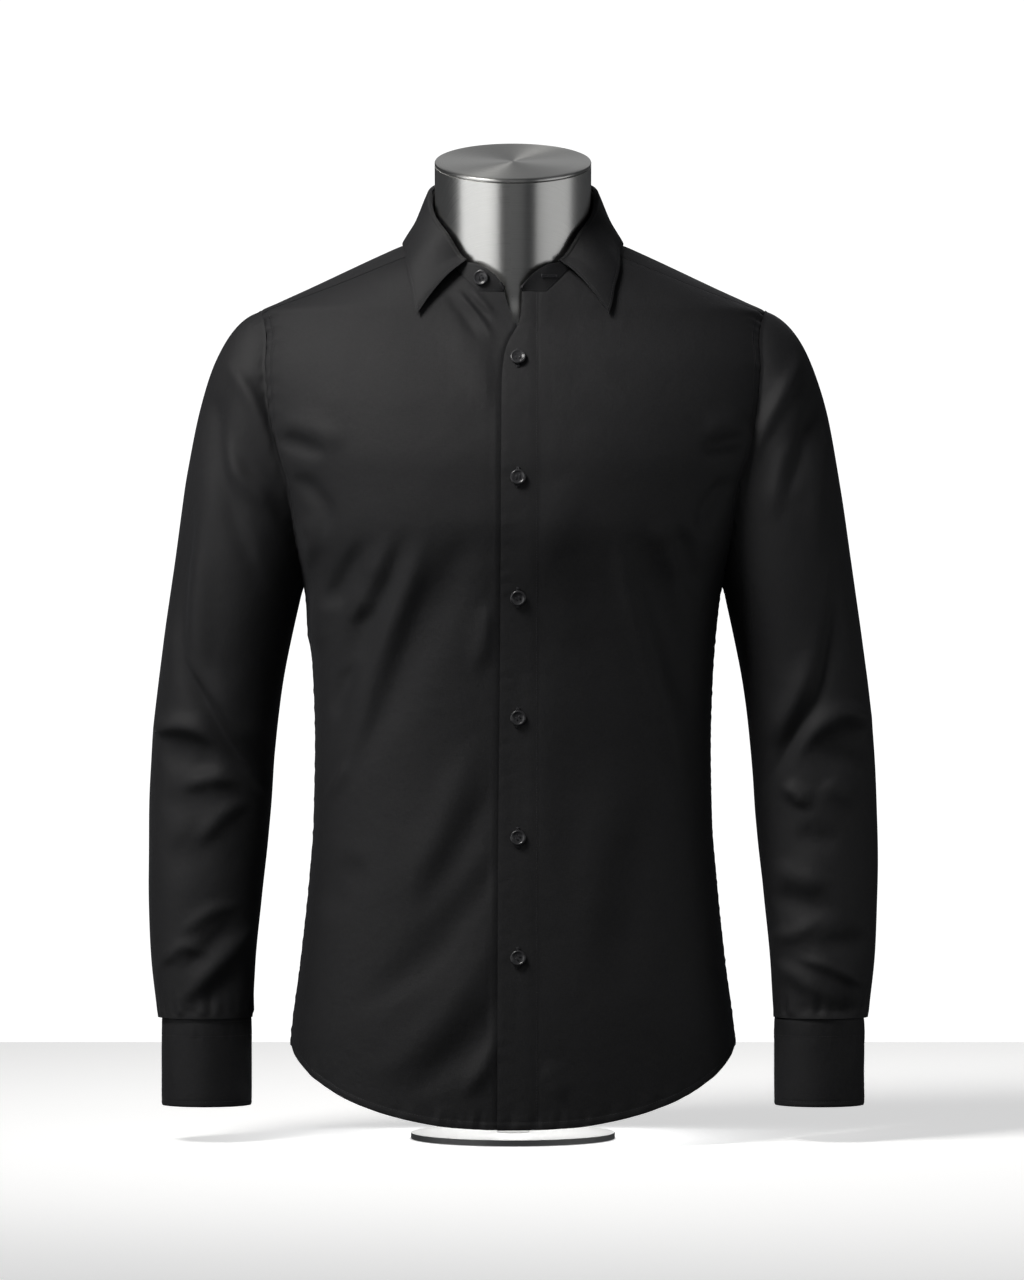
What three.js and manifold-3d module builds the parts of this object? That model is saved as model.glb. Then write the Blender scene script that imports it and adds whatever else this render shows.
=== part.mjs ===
// A men's slim-fit dress shirt on a limbless dress form, in millimetres with +Z up.
// The front faces -Y and +X is the wearer's left. The origin is the centre of the base plate's underside.
import * as THREE from 'three';
import { mergeVertices } from 'three/addons/utils/BufferGeometryUtils.js';
import Module from 'manifold-3d';

const wasm = await Module();
wasm.setup();

// ---- driving sizes ----

const CLOTH = 1.2;
const COLLAR_CLOTH = 1.6;
const GAP = 0.3;

const ARMPIT_Z = 461;
const SHOULDER_Z = 688;
const ARMHOLE_HALF_DEPTH = 55;
const SIDE_HEM_Z = 78;
const BACK_YOKE_Z = 657;
const FRONT_YOKE_Z = 684;
const YOKE_NECK_AZIMUTH = degrees(68);

const NECK_RADIUS = 65;
const NECK_LEAN = degrees(18);
const NECK_CENTRE_Z = 731;
const NECK_TOP_Z = 812;
const NECKLINE_RADIUS = 73;
const FRONT_NECKLINE_Z = 702;
const STAND_FRONT_AZIMUTH = degrees(5.9);
const LEAF_ROLL_AZIMUTH = degrees(34);
const LEAF_POINT_AZIMUTH = degrees(48);
const ROLL_RADIUS = 1.8;

const COLLAR_BUTTON_AZIMUTH = degrees(21.8);

const PLACKET_LINE = 21;
const UNDERLAP_EDGE = 18;
const UNDERLAP_DEPTH = 2.4;

const BUTTON_RADIUS = 6.35;
const BUTTON_THICKNESS = 2.4;
const FRONT_BUTTON_X = 4.2;
const FRONT_BUTTON_TOP_Z = 645.5;
const FRONT_BUTTON_SPACING = 98;
const FRONT_BUTTONS = 6;

const CUFF = { bottom: 29.5, top: 102, x: 254.3, y: -19, halfWidth: 37.4, halfDepth: 35 };

const FORM_INSET = 8;
const FORM_BOTTOM_Z = 120;
const POLE_RADIUS = 14;
const BASE_RADIUS = 85;
const BASE_THICKNESS = 5;

function degrees(value) {
  return THREE.MathUtils.degToRad(value);
}

function mix(a, b, t) {
  return a + (b - a) * t;
}

// A smooth curve through [position, value] pairs that never swings past them.
function profile(points) {
  const slopes = points.slice(1).map(([x, y], i) => (y - points[i][1]) / (x - points[i][0]));
  const tangents = points.map((_, i) => {
    const before = slopes[Math.max(i - 1, 0)];
    const after = slopes[Math.min(i, slopes.length - 1)];
    return before * after <= 0 ? 0 : (2 * before * after) / (before + after);
  });
  return (position) => {
    const x = THREE.MathUtils.clamp(position, points[0][0], points.at(-1)[0]);
    const i = Math.max(0, points.findLastIndex(([start]) => start <= x));
    const left = Math.min(i, points.length - 2);
    const span = points[left + 1][0] - points[left][0];
    return hermite(
      points[left][1], tangents[left] * span,
      points[left + 1][1], tangents[left + 1] * span,
      (x - points[left][0]) / span,
    );
  };
}

function hermite(start, startSlope, end, endSlope, t) {
  const s = 1 - t;
  return start * (1 + 2 * t) * s * s + startSlope * t * s * s + end * t * t * (3 - 2 * t) - endSlope * t * t * s;
}

// The input at which a falling or rising function reaches a value, by halving the range.
function solve(fn, value, low, high) {
  const rising = fn(high) > fn(low);
  for (let i = 0; i < 40; i++) {
    const middle = (low + high) / 2;
    if (fn(middle) < value === rising) low = middle;
    else high = middle;
  }
  return (low + high) / 2;
}

// A surface point moved along the surface's normal.
function movedOut(surface, u, v, [du, dv], distance) {
  const alongU = surface(u + du, v).sub(surface(u - du, v));
  const alongV = surface(u, v + dv).sub(surface(u, v - dv));
  return surface(u, v).addScaledVector(alongU.cross(alongV).normalize(), distance);
}

// ---- the filled-out body of the shirt ----

const halfWidth = profile([
  [0, 187], [81, 185], [148, 177], [215, 170], [265, 166], [330, 165], [381, 166.5], [448, 172.5],
  [461, 175], [500, 188], [540, 200.5], [570, 214], [600, 222], [640, 226], [660, 222], [684, 213],
  [688, 211], [696, 195], [706, 173], [741, 98], [750, 77], [756, 72], [770, 70],
]);
const frontDepth = profile([
  [0, 113], [100, 111], [200, 105], [300, 101], [380, 104], [440, 110], [480, 117], [515, 122],
  [555, 120], [600, 110], [640, 95], [676, 77], [700, 69], [720, 60], [734, 47], [752, 26], [770, 20],
]);
const backDepth = profile([
  [0, 104], [100, 104], [200, 97], [300, 88], [400, 95], [500, 105], [580, 108], [640, 103],
  [684, 94], [710, 88], [741, 79], [754, 73], [770, 68],
]);
// The exponent of each level section: 2 is an ellipse, and more is squarer.
const squareness = profile([[0, 2.3], [600, 2.3], [735, 2], [770, 2]]);
const hemHeight = profile([
  [0, 14.6], [50, 17.2], [87, 23], [131, 36], [164, 54], [176, 64.5], [182, 71.5], [185, SIDE_HEM_Z],
]);

// Azimuth 0 is the front centre and grows towards the wearer's left.
function bodyRadius(azimuth, z) {
  const depth = Math.cos(azimuth) > 0 ? frontDepth(z) : backDepth(z);
  const across = Math.abs(Math.sin(azimuth)) / halfWidth(z);
  const along = Math.abs(Math.cos(azimuth)) / depth;
  const power = squareness(z);
  return (across ** power + along ** power) ** (-1 / power);
}

function plainBody(azimuth, z) {
  const radius = bodyRadius(azimuth, z);
  return new THREE.Vector3(radius * Math.sin(azimuth), -radius * Math.cos(azimuth), z);
}

const BODY_STEP = [0.004, 0.6];

// The front azimuth of a point that is x from the centre at a height.
function azimuthAt(x, z) {
  return solve((azimuth) => bodyRadius(azimuth, z) * Math.sin(azimuth), x, -Math.PI / 2, Math.PI / 2);
}

function hemZ(azimuth) {
  return hemHeight(Math.abs(bodyRadius(azimuth, 40) * Math.sin(azimuth)));
}

// The neckline is round from above, and level across the front.
function necklineZ(azimuth, radius = NECKLINE_RADIUS) {
  return Math.max(FRONT_NECKLINE_Z, solve((z) => bodyRadius(azimuth, z), radius, 655, 765));
}

// ---- folds: ridges and troughs that follow a path of [x, z] points and fade out at both ends ----

const FRONT_FOLDS = [
  { path: [[-97, 506], [-115, 456], [-136, 426]], width: 9, rise: 4 },
  { path: [[-62, 508], [-75, 456], [-93, 406], [-113, 350]], width: 11, rise: 4.5 },
  { path: [[-82, 504], [-95, 456], [-114, 418]], width: 9, rise: -4 },
  { path: [[-22, 500], [-48, 456], [-70, 399], [-90, 345]], width: 14, rise: -4.5 },
  { path: [[88, 515], [106, 434], [132, 370]], width: 10, rise: -4 },
  { path: [[70, 505], [84, 430], [104, 350]], width: 13, rise: 3 },
  { path: [[60, 560], [40, 515], [12, 465]], width: 12, rise: 2 },
  { path: [[-14, 262], [-56, 196], [-84, 164], [-132, 126]], width: 14, rise: 4 },
  { path: [[6, 236], [-36, 172], [-64, 138], [-112, 100]], width: 14, rise: -5 },
  { path: [[0, 160], [-42, 110], [-92, 72]], width: 12, rise: 3 },
  { path: [[0, 128], [-36, 84], [-70, 56]], width: 11, rise: -3.5 },
  { path: [[-100, 320], [-116, 280], [-138, 232]], width: 12, rise: -2.5 },
  { path: [[-198, 582], [-174, 574], [-148, 564]], width: 8, rise: -4 },
  { path: [[198, 584], [174, 576], [148, 566]], width: 8, rise: -4 },
];
const BACK_FOLDS = [
  { path: [[-88, 560], [-96, 430], [-84, 300]], width: 16, rise: 3 },
  { path: [[92, 570], [100, 440], [88, 290]], width: 16, rise: 3 },
  { path: [[-30, 420], [-60, 330], [-130, 255]], width: 14, rise: -3 },
  { path: [[36, 400], [66, 310], [134, 240]], width: 14, rise: -3 },
];
const SLEEVE_FOLDS = {
  right: [
    { path: [[240, 650], [227, 627], [207, 588], [192, 550]], width: 8, rise: -3.5 },
    { path: [[253, 620], [247, 580], [239, 551], [234, 515]], width: 8, rise: -3 },
    { path: [[270, 470], [266, 420], [266, 385]], width: 9, rise: -4 },
    { path: [[268, 410], [249, 359], [233, 331], [198, 284]], width: 9, rise: 5 },
    { path: [[308, 340], [278, 357], [257, 337], [232, 318]], width: 10, rise: -6 },
    { path: [[300, 312], [272, 322], [240, 300]], width: 12, rise: 4 },
    { path: [[276, 302], [252, 301], [226, 312]], width: 8, rise: -4 },
    { path: [[294, 140], [276, 165], [258, 169]], width: 7, rise: -4 },
    { path: [[214, 182], [234, 135], [262, 102]], width: 9, rise: -5 },
    { path: [[214, 210], [244, 190], [262, 160]], width: 8, rise: 3.5 },
  ],
  left: [
    { path: [[238, 652], [221, 616], [208, 589], [196, 560]], width: 8, rise: -3.5 },
    { path: [[254, 622], [246, 596], [232, 556], [222, 515]], width: 9, rise: 3.5 },
    { path: [[270, 480], [264, 427], [253, 381], [235, 344], [200, 282]], width: 9, rise: 5 },
    { path: [[308, 340], [271, 356], [246, 333], [222, 303]], width: 10, rise: -6 },
    { path: [[300, 310], [274, 324], [248, 300]], width: 12, rise: 4 },
    { path: [[222, 291], [236, 285], [256, 268]], width: 8, rise: -4 },
    { path: [[248, 150], [266, 142], [288, 130]], width: 8, rise: -4.5 },
    { path: [[218, 176], [234, 160], [250, 172]], width: 8, rise: -4 },
    { path: [[300, 118], [276, 112], [240, 118]], width: 7, rise: 3 },
  ],
};

function foldHeight(folds, x, z) {
  return folds.reduce((sum, fold) => sum + oneFold(fold, x, z), 0);
}

function oneFold({ path, width, rise }, x, z) {
  let nearest = { distance: Infinity, place: 0 };
  for (let i = 0; i + 1 < path.length; i++) {
    const [dx, dz] = [path[i + 1][0] - path[i][0], path[i + 1][1] - path[i][1]];
    const along = ((x - path[i][0]) * dx + (z - path[i][1]) * dz) / (dx * dx + dz * dz);
    const t = THREE.MathUtils.clamp(along, 0, 1);
    const distance = Math.hypot(x - path[i][0] - t * dx, z - path[i][1] - t * dz);
    if (distance < nearest.distance) nearest = { distance, place: (i + t) / (path.length - 1) };
  }
  const fade = THREE.MathUtils.smoothstep(Math.min(nearest.place, 1 - nearest.place), 0, 0.35);
  return rise * fade * Math.exp(-((nearest.distance / width) ** 2));
}

function body(azimuth, z) {
  const { x, y } = plainBody(azimuth, z);
  const nearPlacket = THREE.MathUtils.smoothstep(-x, 10, 24);
  const height = y < 0
    ? foldHeight(FRONT_FOLDS, x, z) * (x < 0 ? nearPlacket : 1)
    : foldHeight(BACK_FOLDS, x, z);
  return movedOut(plainBody, azimuth, z, BODY_STEP, height);
}

function onBody([azimuth, z], distance) {
  return movedOut(body, azimuth, z, BODY_STEP, distance);
}

// ---- walls of cloth ----

// A closed wall on a grid. point(u, v, side) gives the outer face at side 0 and the inner at side 1.
function wallGeometry(columns, rows, point, ring = false) {
  const positions = [];
  const across = ring ? columns.length : columns.length - 1;
  for (const side of [0, 1]) {
    for (const v of rows) {
      for (const u of columns) positions.push(...point(u, v, side).toArray());
    }
  }
  const count = columns.length;
  const at = (side, row, column) => side * count * rows.length + row * count + (column % count);
  const index = [];
  const quad = (a, b, c, d) => index.push(a, b, c, a, c, d);
  for (let row = 0; row + 1 < rows.length; row++) {
    for (let column = 0; column < across; column++) {
      quad(at(0, row, column), at(0, row, column + 1), at(0, row + 1, column + 1), at(0, row + 1, column));
      quad(at(1, row, column), at(1, row + 1, column), at(1, row + 1, column + 1), at(1, row, column + 1));
    }
  }
  const last = rows.length - 1;
  for (let column = 0; column < across; column++) {
    quad(at(0, 0, column), at(1, 0, column), at(1, 0, column + 1), at(0, 0, column + 1));
    quad(at(0, last, column), at(0, last, column + 1), at(1, last, column + 1), at(1, last, column));
  }
  for (let row = 0; !ring && row < last; row++) {
    quad(at(0, row, 0), at(0, row + 1, 0), at(1, row + 1, 0), at(1, row, 0));
    quad(at(0, row, across), at(1, row, across), at(1, row + 1, across), at(0, row + 1, across));
  }
  return facingOut(positions, index);
}

function facingOut(positions, index) {
  let volume = 0;
  const corner = (i) => new THREE.Vector3().fromArray(positions, index[i] * 3);
  for (let i = 0; i < index.length; i += 3) volume += corner(i).dot(corner(i + 1).cross(corner(i + 2)));
  const geometry = new THREE.BufferGeometry();
  geometry.setAttribute('position', new THREE.Float32BufferAttribute(positions, 3));
  geometry.setIndex(volume > 0 ? index : index.reverse());
  geometry.computeVertexNormals();
  return geometry;
}

function steps(count, from = 0, to = 1) {
  return Array.from({ length: count + 1 }, (_, i) => mix(from, to, i / count));
}

// A four-sided patch between boundary curves that each give [azimuth, z].
function patch({ bottom, top, left, right }) {
  return (u, v) => [0, 1].map((k) => {
    const edges = mix(bottom(u)[k], top(u)[k], v) + mix(left(v)[k], right(v)[k], u);
    const corners = mix(mix(bottom(0)[k], bottom(1)[k], u), mix(top(0)[k], top(1)[k], u), v);
    return edges - corners;
  });
}

// ---- armholes ----

const ARMHOLE_CENTRE_Z = (SHOULDER_Z + ARMPIT_Z) / 2;
const ARMHOLE_HALF_HEIGHT = (SHOULDER_Z - ARMPIT_Z) / 2;

// Turn 0 is the shoulder point, a quarter turn the front of the armhole and half a turn the armpit.
function armhole(turn, side, margin = 0) {
  const z = ARMHOLE_CENTRE_Z + (ARMHOLE_HALF_HEIGHT + margin) * Math.cos(turn);
  const y = -(ARMHOLE_HALF_DEPTH + margin) * Math.sin(turn);
  const depth = y < 0 ? frontDepth(z) : backDepth(z);
  const power = squareness(z);
  const x = side * halfWidth(z) * (1 - (Math.abs(y) / depth) ** power) ** (1 / power);
  return new THREE.Vector3(x, y, z);
}

function armholeTurn(z) {
  return Math.acos((z - ARMHOLE_CENTRE_Z) / ARMHOLE_HALF_HEIGHT);
}

// The armhole as [azimuth, z] on the body, with azimuths counted on past the back centre.
function armholeEdge(turn, side) {
  const { x, y, z } = armhole(turn, side, GAP / 2);
  const azimuth = Math.atan2(x, -y);
  return [azimuth < 0 && y >= 0 ? azimuth + 2 * Math.PI : azimuth, z];
}

// ---- front panels ----

const SIDE_SEAM = Math.PI / 2;
const SEAM_ANGLE = GAP / 2 / 170;
const SIDE_SEAM_SHARE = 0.625;
const NECKLINE_SHARE = 0.4;
const PLACKET_SHARE = 0.12;

const topEdgeX = profile([
  [0, -12.8], [200, -12.4], [400, -10.6], [600, -9.4], [627, -9.1], [649, -7], [661, -3], [672, 3.2],
  [682, 6.2], [FRONT_NECKLINE_Z, 7.4],
]);
const underEdgeX = profile([
  [0, -UNDERLAP_EDGE], [600, -UNDERLAP_EDGE], [640, -14], [663, -7], [674, -2.8], [688, 3.2],
  [FRONT_NECKLINE_Z, 7.4],
]);

// The side seam and then the front or back of the armhole, as one edge.
function sideEdge(t, seamAzimuth, side, endTurn) {
  if (t < SIDE_SEAM_SHARE) {
    return [seamAzimuth, mix(hemZ(seamAzimuth), ARMPIT_Z - GAP / 2, t / SIDE_SEAM_SHARE)];
  }
  const share = (t - SIDE_SEAM_SHARE) / (1 - SIDE_SEAM_SHARE);
  return armholeEdge(mix(Math.sign(endTurn) * Math.PI, endTurn, share), side);
}

function panelNecklineZ(azimuth) {
  return necklineZ(azimuth, NECKLINE_RADIUS + 4 * GAP);
}

// A line that runs up the front at x = line(z), from the hem to the neckline.
function frontLine(side, line) {
  const azimuthOf = (z) => azimuthAt(side * line(z), z);
  const low = solve((z) => hemZ(azimuthOf(z)) - z, 0, -10, 60);
  return (t) => {
    const z = mix(low, FRONT_NECKLINE_Z, t);
    return [azimuthOf(z), z];
  };
}

function frontPanel(side, edgeX) {
  const edge = frontLine(side, edgeX);
  const line = frontLine(side, () => PLACKET_LINE);
  const seamAzimuth = SIDE_SEAM - SEAM_ANGLE;
  const hemStart = Math.abs(line(0)[0]);
  const neckStart = Math.abs(line(1)[0]);
  const neckEnd = [YOKE_NECK_AZIMUTH, panelNecklineZ(YOKE_NECK_AZIMUTH) - GAP / 2];
  const cornerTurn = armholeTurn(FRONT_YOKE_Z - GAP / 2);
  const corner = armholeEdge(cornerTurn, side);
  const main = patch({
    bottom: (u) => {
      const azimuth = mix(hemStart, seamAzimuth, u);
      return [side * azimuth, hemZ(azimuth)];
    },
    top: (u) => {
      if (u < NECKLINE_SHARE) {
        const azimuth = mix(neckStart, YOKE_NECK_AZIMUTH, u / NECKLINE_SHARE);
        return [side * azimuth, panelNecklineZ(azimuth)];
      }
      const share = (u - NECKLINE_SHARE) / (1 - NECKLINE_SHARE);
      return [mix(side * neckEnd[0], corner[0], share), mix(neckEnd[1], corner[1], share)];
    },
    left: line,
    right: (v) => sideEdge(v, side * seamAzimuth, side, cornerTurn),
  });
  return (u, v) => {
    if (u >= PLACKET_SHARE) return main((u - PLACKET_SHARE) / (1 - PLACKET_SHARE), v);
    return [0, 1].map((k) => mix(edge(v)[k], line(v)[k], u / PLACKET_SHARE));
  };
}

const PANEL_COLUMNS = [0, PLACKET_SHARE / 2, ...steps(10, PLACKET_SHARE, 1)];
const PLACKET_COLUMNS = PANEL_COLUMNS.slice(0, 3);
const PANEL_ROWS = steps(24);
const leftFront = frontPanel(1, topEdgeX);
const rightFront = frontPanel(-1, underEdgeX);

function frontLeft() {
  return wallGeometry(PANEL_COLUMNS, PANEL_ROWS, (u, v, side) => onBody(leftFront(u, v), -CLOTH * side));
}

function frontRight() {
  const sunk = (u) => -UNDERLAP_DEPTH * (1 - THREE.MathUtils.smoothstep(u, PLACKET_SHARE, PLACKET_SHARE * 1.5));
  return wallGeometry(PANEL_COLUMNS, PANEL_ROWS, (u, v, side) => (
    onBody(rightFront(u, v), sunk(u) - CLOTH * side)
  ));
}

function placket() {
  return wallGeometry(PLACKET_COLUMNS, PANEL_ROWS, (u, v, side) => (
    onBody(leftFront(u, v), GAP + CLOTH * (1 - side))
  ));
}

// ---- back and yoke ----

function back() {
  const seamAzimuth = SIDE_SEAM + SEAM_ANGLE;
  const cornerTurn = -armholeTurn(BACK_YOKE_Z - GAP / 2);
  const cornerAzimuth = armholeEdge(cornerTurn, 1)[0];
  const farSide = ([azimuth, z]) => [2 * Math.PI - azimuth, z];
  const nearSide = (v) => sideEdge(v, seamAzimuth, 1, cornerTurn);
  const panel = patch({
    bottom: (u) => {
      const azimuth = mix(seamAzimuth, 2 * Math.PI - seamAzimuth, u);
      return [azimuth, hemZ(azimuth)];
    },
    top: (u) => [mix(cornerAzimuth, 2 * Math.PI - cornerAzimuth, u), nearSide(1)[1]],
    left: nearSide,
    right: (v) => farSide(nearSide(v)),
  });
  return wallGeometry(steps(16), PANEL_ROWS, (u, v, side) => onBody(panel(u, v), -CLOTH * side));
}

// The yoke runs from one front seam over the shoulders and round the neck to the other.
function yoke() {
  const armholeShare = 0.14;
  const startTurn = armholeTurn(FRONT_YOKE_Z + GAP / 2);
  const cornerTurn = -armholeTurn(BACK_YOKE_Z + GAP / 2);
  const start = armholeEdge(startTurn, 1);
  const corner = armholeEdge(cornerTurn, 1);
  const outer = (u) => {
    if (u < armholeShare) return armholeEdge(mix(startTurn, cornerTurn, u / armholeShare), 1);
    const share = (u - armholeShare) / (0.5 - armholeShare);
    return [mix(corner[0], Math.PI, share), corner[1]];
  };
  const inner = (u) => {
    const azimuth = mix(YOKE_NECK_AZIMUTH, Math.PI, u * 2);
    return [azimuth, panelNecklineZ(azimuth) + (u === 0 ? GAP / 2 : 0)];
  };
  const mirrored = (curve) => (u) => {
    const [azimuth, z] = curve(Math.min(u, 1 - u));
    return [u > 0.5 ? 2 * Math.PI - azimuth : azimuth, z];
  };
  const seam = (v) => [mix(YOKE_NECK_AZIMUTH, start[0], v), mix(inner(0)[1], outer(0)[1], v)];
  const panel = patch({
    bottom: mirrored(inner),
    top: mirrored(outer),
    left: seam,
    right: (v) => [2 * Math.PI - seam(v)[0], seam(v)[1]],
  });
  const shares = steps(4, 0, armholeShare).concat(steps(8, armholeShare, 0.5).slice(1));
  const columns = shares.concat(shares.slice(0, -1).reverse().map((u) => 1 - u));
  return wallGeometry(columns, steps(6), (u, v, side) => onBody(panel(u, v), -CLOTH * side));
}

// ---- collar ----

const standTopZ = profile([
  [degrees(5.9), 704.5], [degrees(9), 710], [degrees(15), 717.5], [degrees(27), 725], [degrees(34), 726.5],
  [degrees(54), 750], [degrees(70), 763], [degrees(82), 773], [degrees(100), 788], [degrees(120), 794],
  [degrees(180), 798],
]);
const leafEdgeZ = profile([
  [degrees(48), 682], [degrees(55), 706], [degrees(65), 726], [degrees(76), 738], [degrees(90), 744.5],
  [degrees(115), 748], [degrees(180), 751],
]);

function neckCentreY(z) {
  return (NECK_CENTRE_Z - z) * Math.tan(NECK_LEAN);
}

function outwards(azimuth) {
  return new THREE.Vector3(Math.sin(azimuth), -Math.cos(azimuth), 0);
}

// The top edge of the stand stays just clear of the leaning neck.
function standTop(azimuth) {
  const z = standTopZ(azimuth < Math.PI ? azimuth : 2 * Math.PI - azimuth);
  const centreY = Math.min(0, neckCentreY(z));
  return new THREE.Vector3(67.6 * Math.sin(azimuth), centreY - 71 * Math.cos(azimuth), z);
}

function standSurface(u, v) {
  const azimuth = mix(STAND_FRONT_AZIMUTH, 2 * Math.PI - STAND_FRONT_AZIMUTH, u);
  const seamZ = necklineZ(azimuth);
  const seamRadius = Math.min(NECKLINE_RADIUS, bodyRadius(azimuth, seamZ));
  const base = outwards(azimuth).multiplyScalar(seamRadius - COLLAR_CLOTH / 2 - 2 * GAP);
  base.z = seamZ + 1.3;
  return base.lerp(standTop(azimuth), v);
}

// The leaf turns over the top of the stand and falls to an edge that lies on the shoulders.
function leafSurface(u, v) {
  const share = 1 - Math.abs(2 * u - 1);
  const mirror = u > 0.5 ? (azimuth) => 2 * Math.PI - azimuth : (azimuth) => azimuth;
  const rollAzimuth = mirror(mix(LEAF_ROLL_AZIMUTH, Math.PI, share));
  const edgeAzimuth = mix(LEAF_POINT_AZIMUTH, Math.PI, share);
  const out = outwards(rollAzimuth);
  const edge = standTop(rollAzimuth + 0.01).sub(standTop(rollAzimuth - 0.01));
  const up = out.clone().cross(edge).normalize();
  const turned = (angle) => standTop(rollAzimuth)
    .addScaledVector(out, ROLL_RADIUS * (1 + Math.cos(angle)))
    .addScaledVector(up, ROLL_RADIUS * Math.sin(angle));
  const rollShare = 0.12;
  if (v < rollShare) return turned(mix(degrees(138), degrees(8), v / rollShare));
  const from = turned(degrees(8));
  const lift = mix(4, 3, THREE.MathUtils.smoothstep(share, 0, 0.3));
  const to = movedOut(plainBody, mirror(edgeAzimuth), leafEdgeZ(edgeAzimuth), BODY_STEP, lift);
  const bend = from.clone().lerp(to, 0.45).addScaledVector(out, 5);
  bend.z += mix(7, 2, THREE.MathUtils.smoothstep(share, 0, 0.25));
  return quadratic(from, bend, to, (v - rollShare) / (1 - rollShare));
}

function quadratic(from, bend, to, t) {
  return from.clone().multiplyScalar((1 - t) ** 2)
    .addScaledVector(bend, 2 * t * (1 - t))
    .addScaledVector(to, t * t);
}

// The stand's columns meet the leaf's, which start where the leaf's roll does.
const LEAF_COLUMNS = steps(26);
const STAND_COLUMNS = [
  ...steps(4, STAND_FRONT_AZIMUTH, LEAF_ROLL_AZIMUTH).slice(0, -1),
  ...steps(26, LEAF_ROLL_AZIMUTH, 2 * Math.PI - LEAF_ROLL_AZIMUTH),
  ...steps(4, 2 * Math.PI - LEAF_ROLL_AZIMUTH, 2 * Math.PI - STAND_FRONT_AZIMUTH).slice(1),
].map(standShare);

function standShare(azimuth) {
  return (azimuth - STAND_FRONT_AZIMUTH) / (2 * (Math.PI - STAND_FRONT_AZIMUTH));
}

function collarStand() {
  return wallGeometry(STAND_COLUMNS, steps(2), (u, v, side) => (
    movedOut(standSurface, u, v, [0.002, 0.02], COLLAR_CLOTH * (0.5 - side))
  ));
}

function collarLeaf() {
  const rows = [0, 0.06, 0.12, ...steps(4, 0.12, 1).slice(1)];
  return wallGeometry(LEAF_COLUMNS, rows, (u, v, side) => (
    movedOut(leafSurface, u, v, [0.002, 0.01], COLLAR_CLOTH * (side - 0.5))
  ));
}

// ---- sleeves and cuffs ----

const SLEEVE_RINGS = [
  { inner: [178, 450], outer: [281, 481], halfDepth: 60, y: 2 },
  { inner: [191, 388], outer: [292, 404], halfDepth: 55, y: 4 },
  { inner: [199, 325], outer: [299.5, 338], halfDepth: 51, y: 4 },
  { inner: [203.5, 262], outer: [302.5, 270], halfDepth: 48, y: 0 },
  { inner: [209.5, 205], outer: [302.5, 208], halfDepth: 45, y: -6 },
  { inner: [214.5, 152], outer: [300, 153], halfDepth: 41, y: -13 },
  { inner: [217, CUFF.top + 0.4], outer: [294, CUFF.top + 0.4], halfDepth: 36, y: CUFF.y },
];
const SLEEVE_LENGTHS = SLEEVE_RINGS.length;

// Turn 0 is the outer side of the arm, a quarter turn the front and half a turn the inner side.
function sleeveRing({ inner, outer, halfDepth, y }, turn) {
  const across = Math.cos(turn);
  return new THREE.Vector3(
    mix(inner[0], outer[0], (1 + across) / 2),
    y - halfDepth * Math.sin(turn),
    mix(inner[1], outer[1], (1 + across) / 2),
  );
}

function hermitePoint(from, fromSlope, to, toSlope, t) {
  const axis = (k) => hermite(from[k], fromSlope[k], to[k], toSlope[k], t);
  return new THREE.Vector3(axis('x'), axis('y'), axis('z'));
}

// Place 0 is the armhole, 1 the upper arm and SLEEVE_LENGTHS the wrist.
function plainSleeve(turn, place) {
  const ringAt = (i) => sleeveRing(SLEEVE_RINGS[THREE.MathUtils.clamp(i, 0, SLEEVE_LENGTHS - 1)], turn);
  if (place <= 1) {
    const start = armhole(turn, 1);
    const end = ringAt(0);
    const span = start.distanceTo(end);
    const fall = degrees(mix(70, 15, (1 + Math.cos(turn)) / 2));
    const leave = new THREE.Vector3(Math.cos(fall), -0.3 * Math.sin(turn), -Math.sin(fall)).normalize();
    const arrive = ringAt(1).sub(end).normalize().multiplyScalar(0.94 * span);
    return hermitePoint(start.addScaledVector(leave, 0.7), leave.multiplyScalar(0.71 * span), end, arrive, place);
  }
  const i = Math.min(Math.floor(place) - 1, SLEEVE_LENGTHS - 2);
  const slope = (k) => ringAt(k + 1).sub(ringAt(k - 1)).multiplyScalar(k > 0 && k < SLEEVE_LENGTHS - 1 ? 0.5 : 1);
  return hermitePoint(ringAt(i), slope(i), ringAt(i + 1), slope(i + 1), place - 1 - i);
}

const SLEEVE_STEP = [0.01, 0.01];

function sleeveSurface(folds) {
  return (turn, place) => {
    const { x, z } = plainSleeve(turn, place);
    const facing = THREE.MathUtils.smoothstep(Math.abs(Math.sin(turn)), 0, 0.35);
    return movedOut(plainSleeve, turn, place, SLEEVE_STEP, foldHeight(folds, x, z) * facing);
  };
}

const FRONT_SEAM_TURN = armholeTurn(FRONT_YOKE_Z);
const BACK_SEAM_TURN = -armholeTurn(BACK_YOKE_Z);

// The sleeve's columns meet the ends of the front's, the yoke's and the back's rows.
const SLEEVE_TURNS = [
  ...steps(9, Math.PI, FRONT_SEAM_TURN).slice(0, -1),
  ...steps(4, FRONT_SEAM_TURN, BACK_SEAM_TURN).slice(0, -1),
  ...steps(9, BACK_SEAM_TURN, -Math.PI).slice(0, -1),
];
const SLEEVE_PLACES = steps(5).concat(steps(13, 1, SLEEVE_LENGTHS).slice(1));

function onSide(side, geometry) {
  if (side > 0) return geometry;
  const mirrored = geometry.clone().applyMatrix4(new THREE.Matrix4().makeScale(-1, 1, 1));
  return facingOut(Array.from(mirrored.attributes.position.array), Array.from(mirrored.index.array));
}

function sleeve(side, folds) {
  const surface = sleeveSurface(folds);
  return onSide(side, wallGeometry(SLEEVE_TURNS, SLEEVE_PLACES, (turn, place, face) => (
    movedOut(surface, turn, place, SLEEVE_STEP, -CLOTH * face)
  ), true));
}

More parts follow.
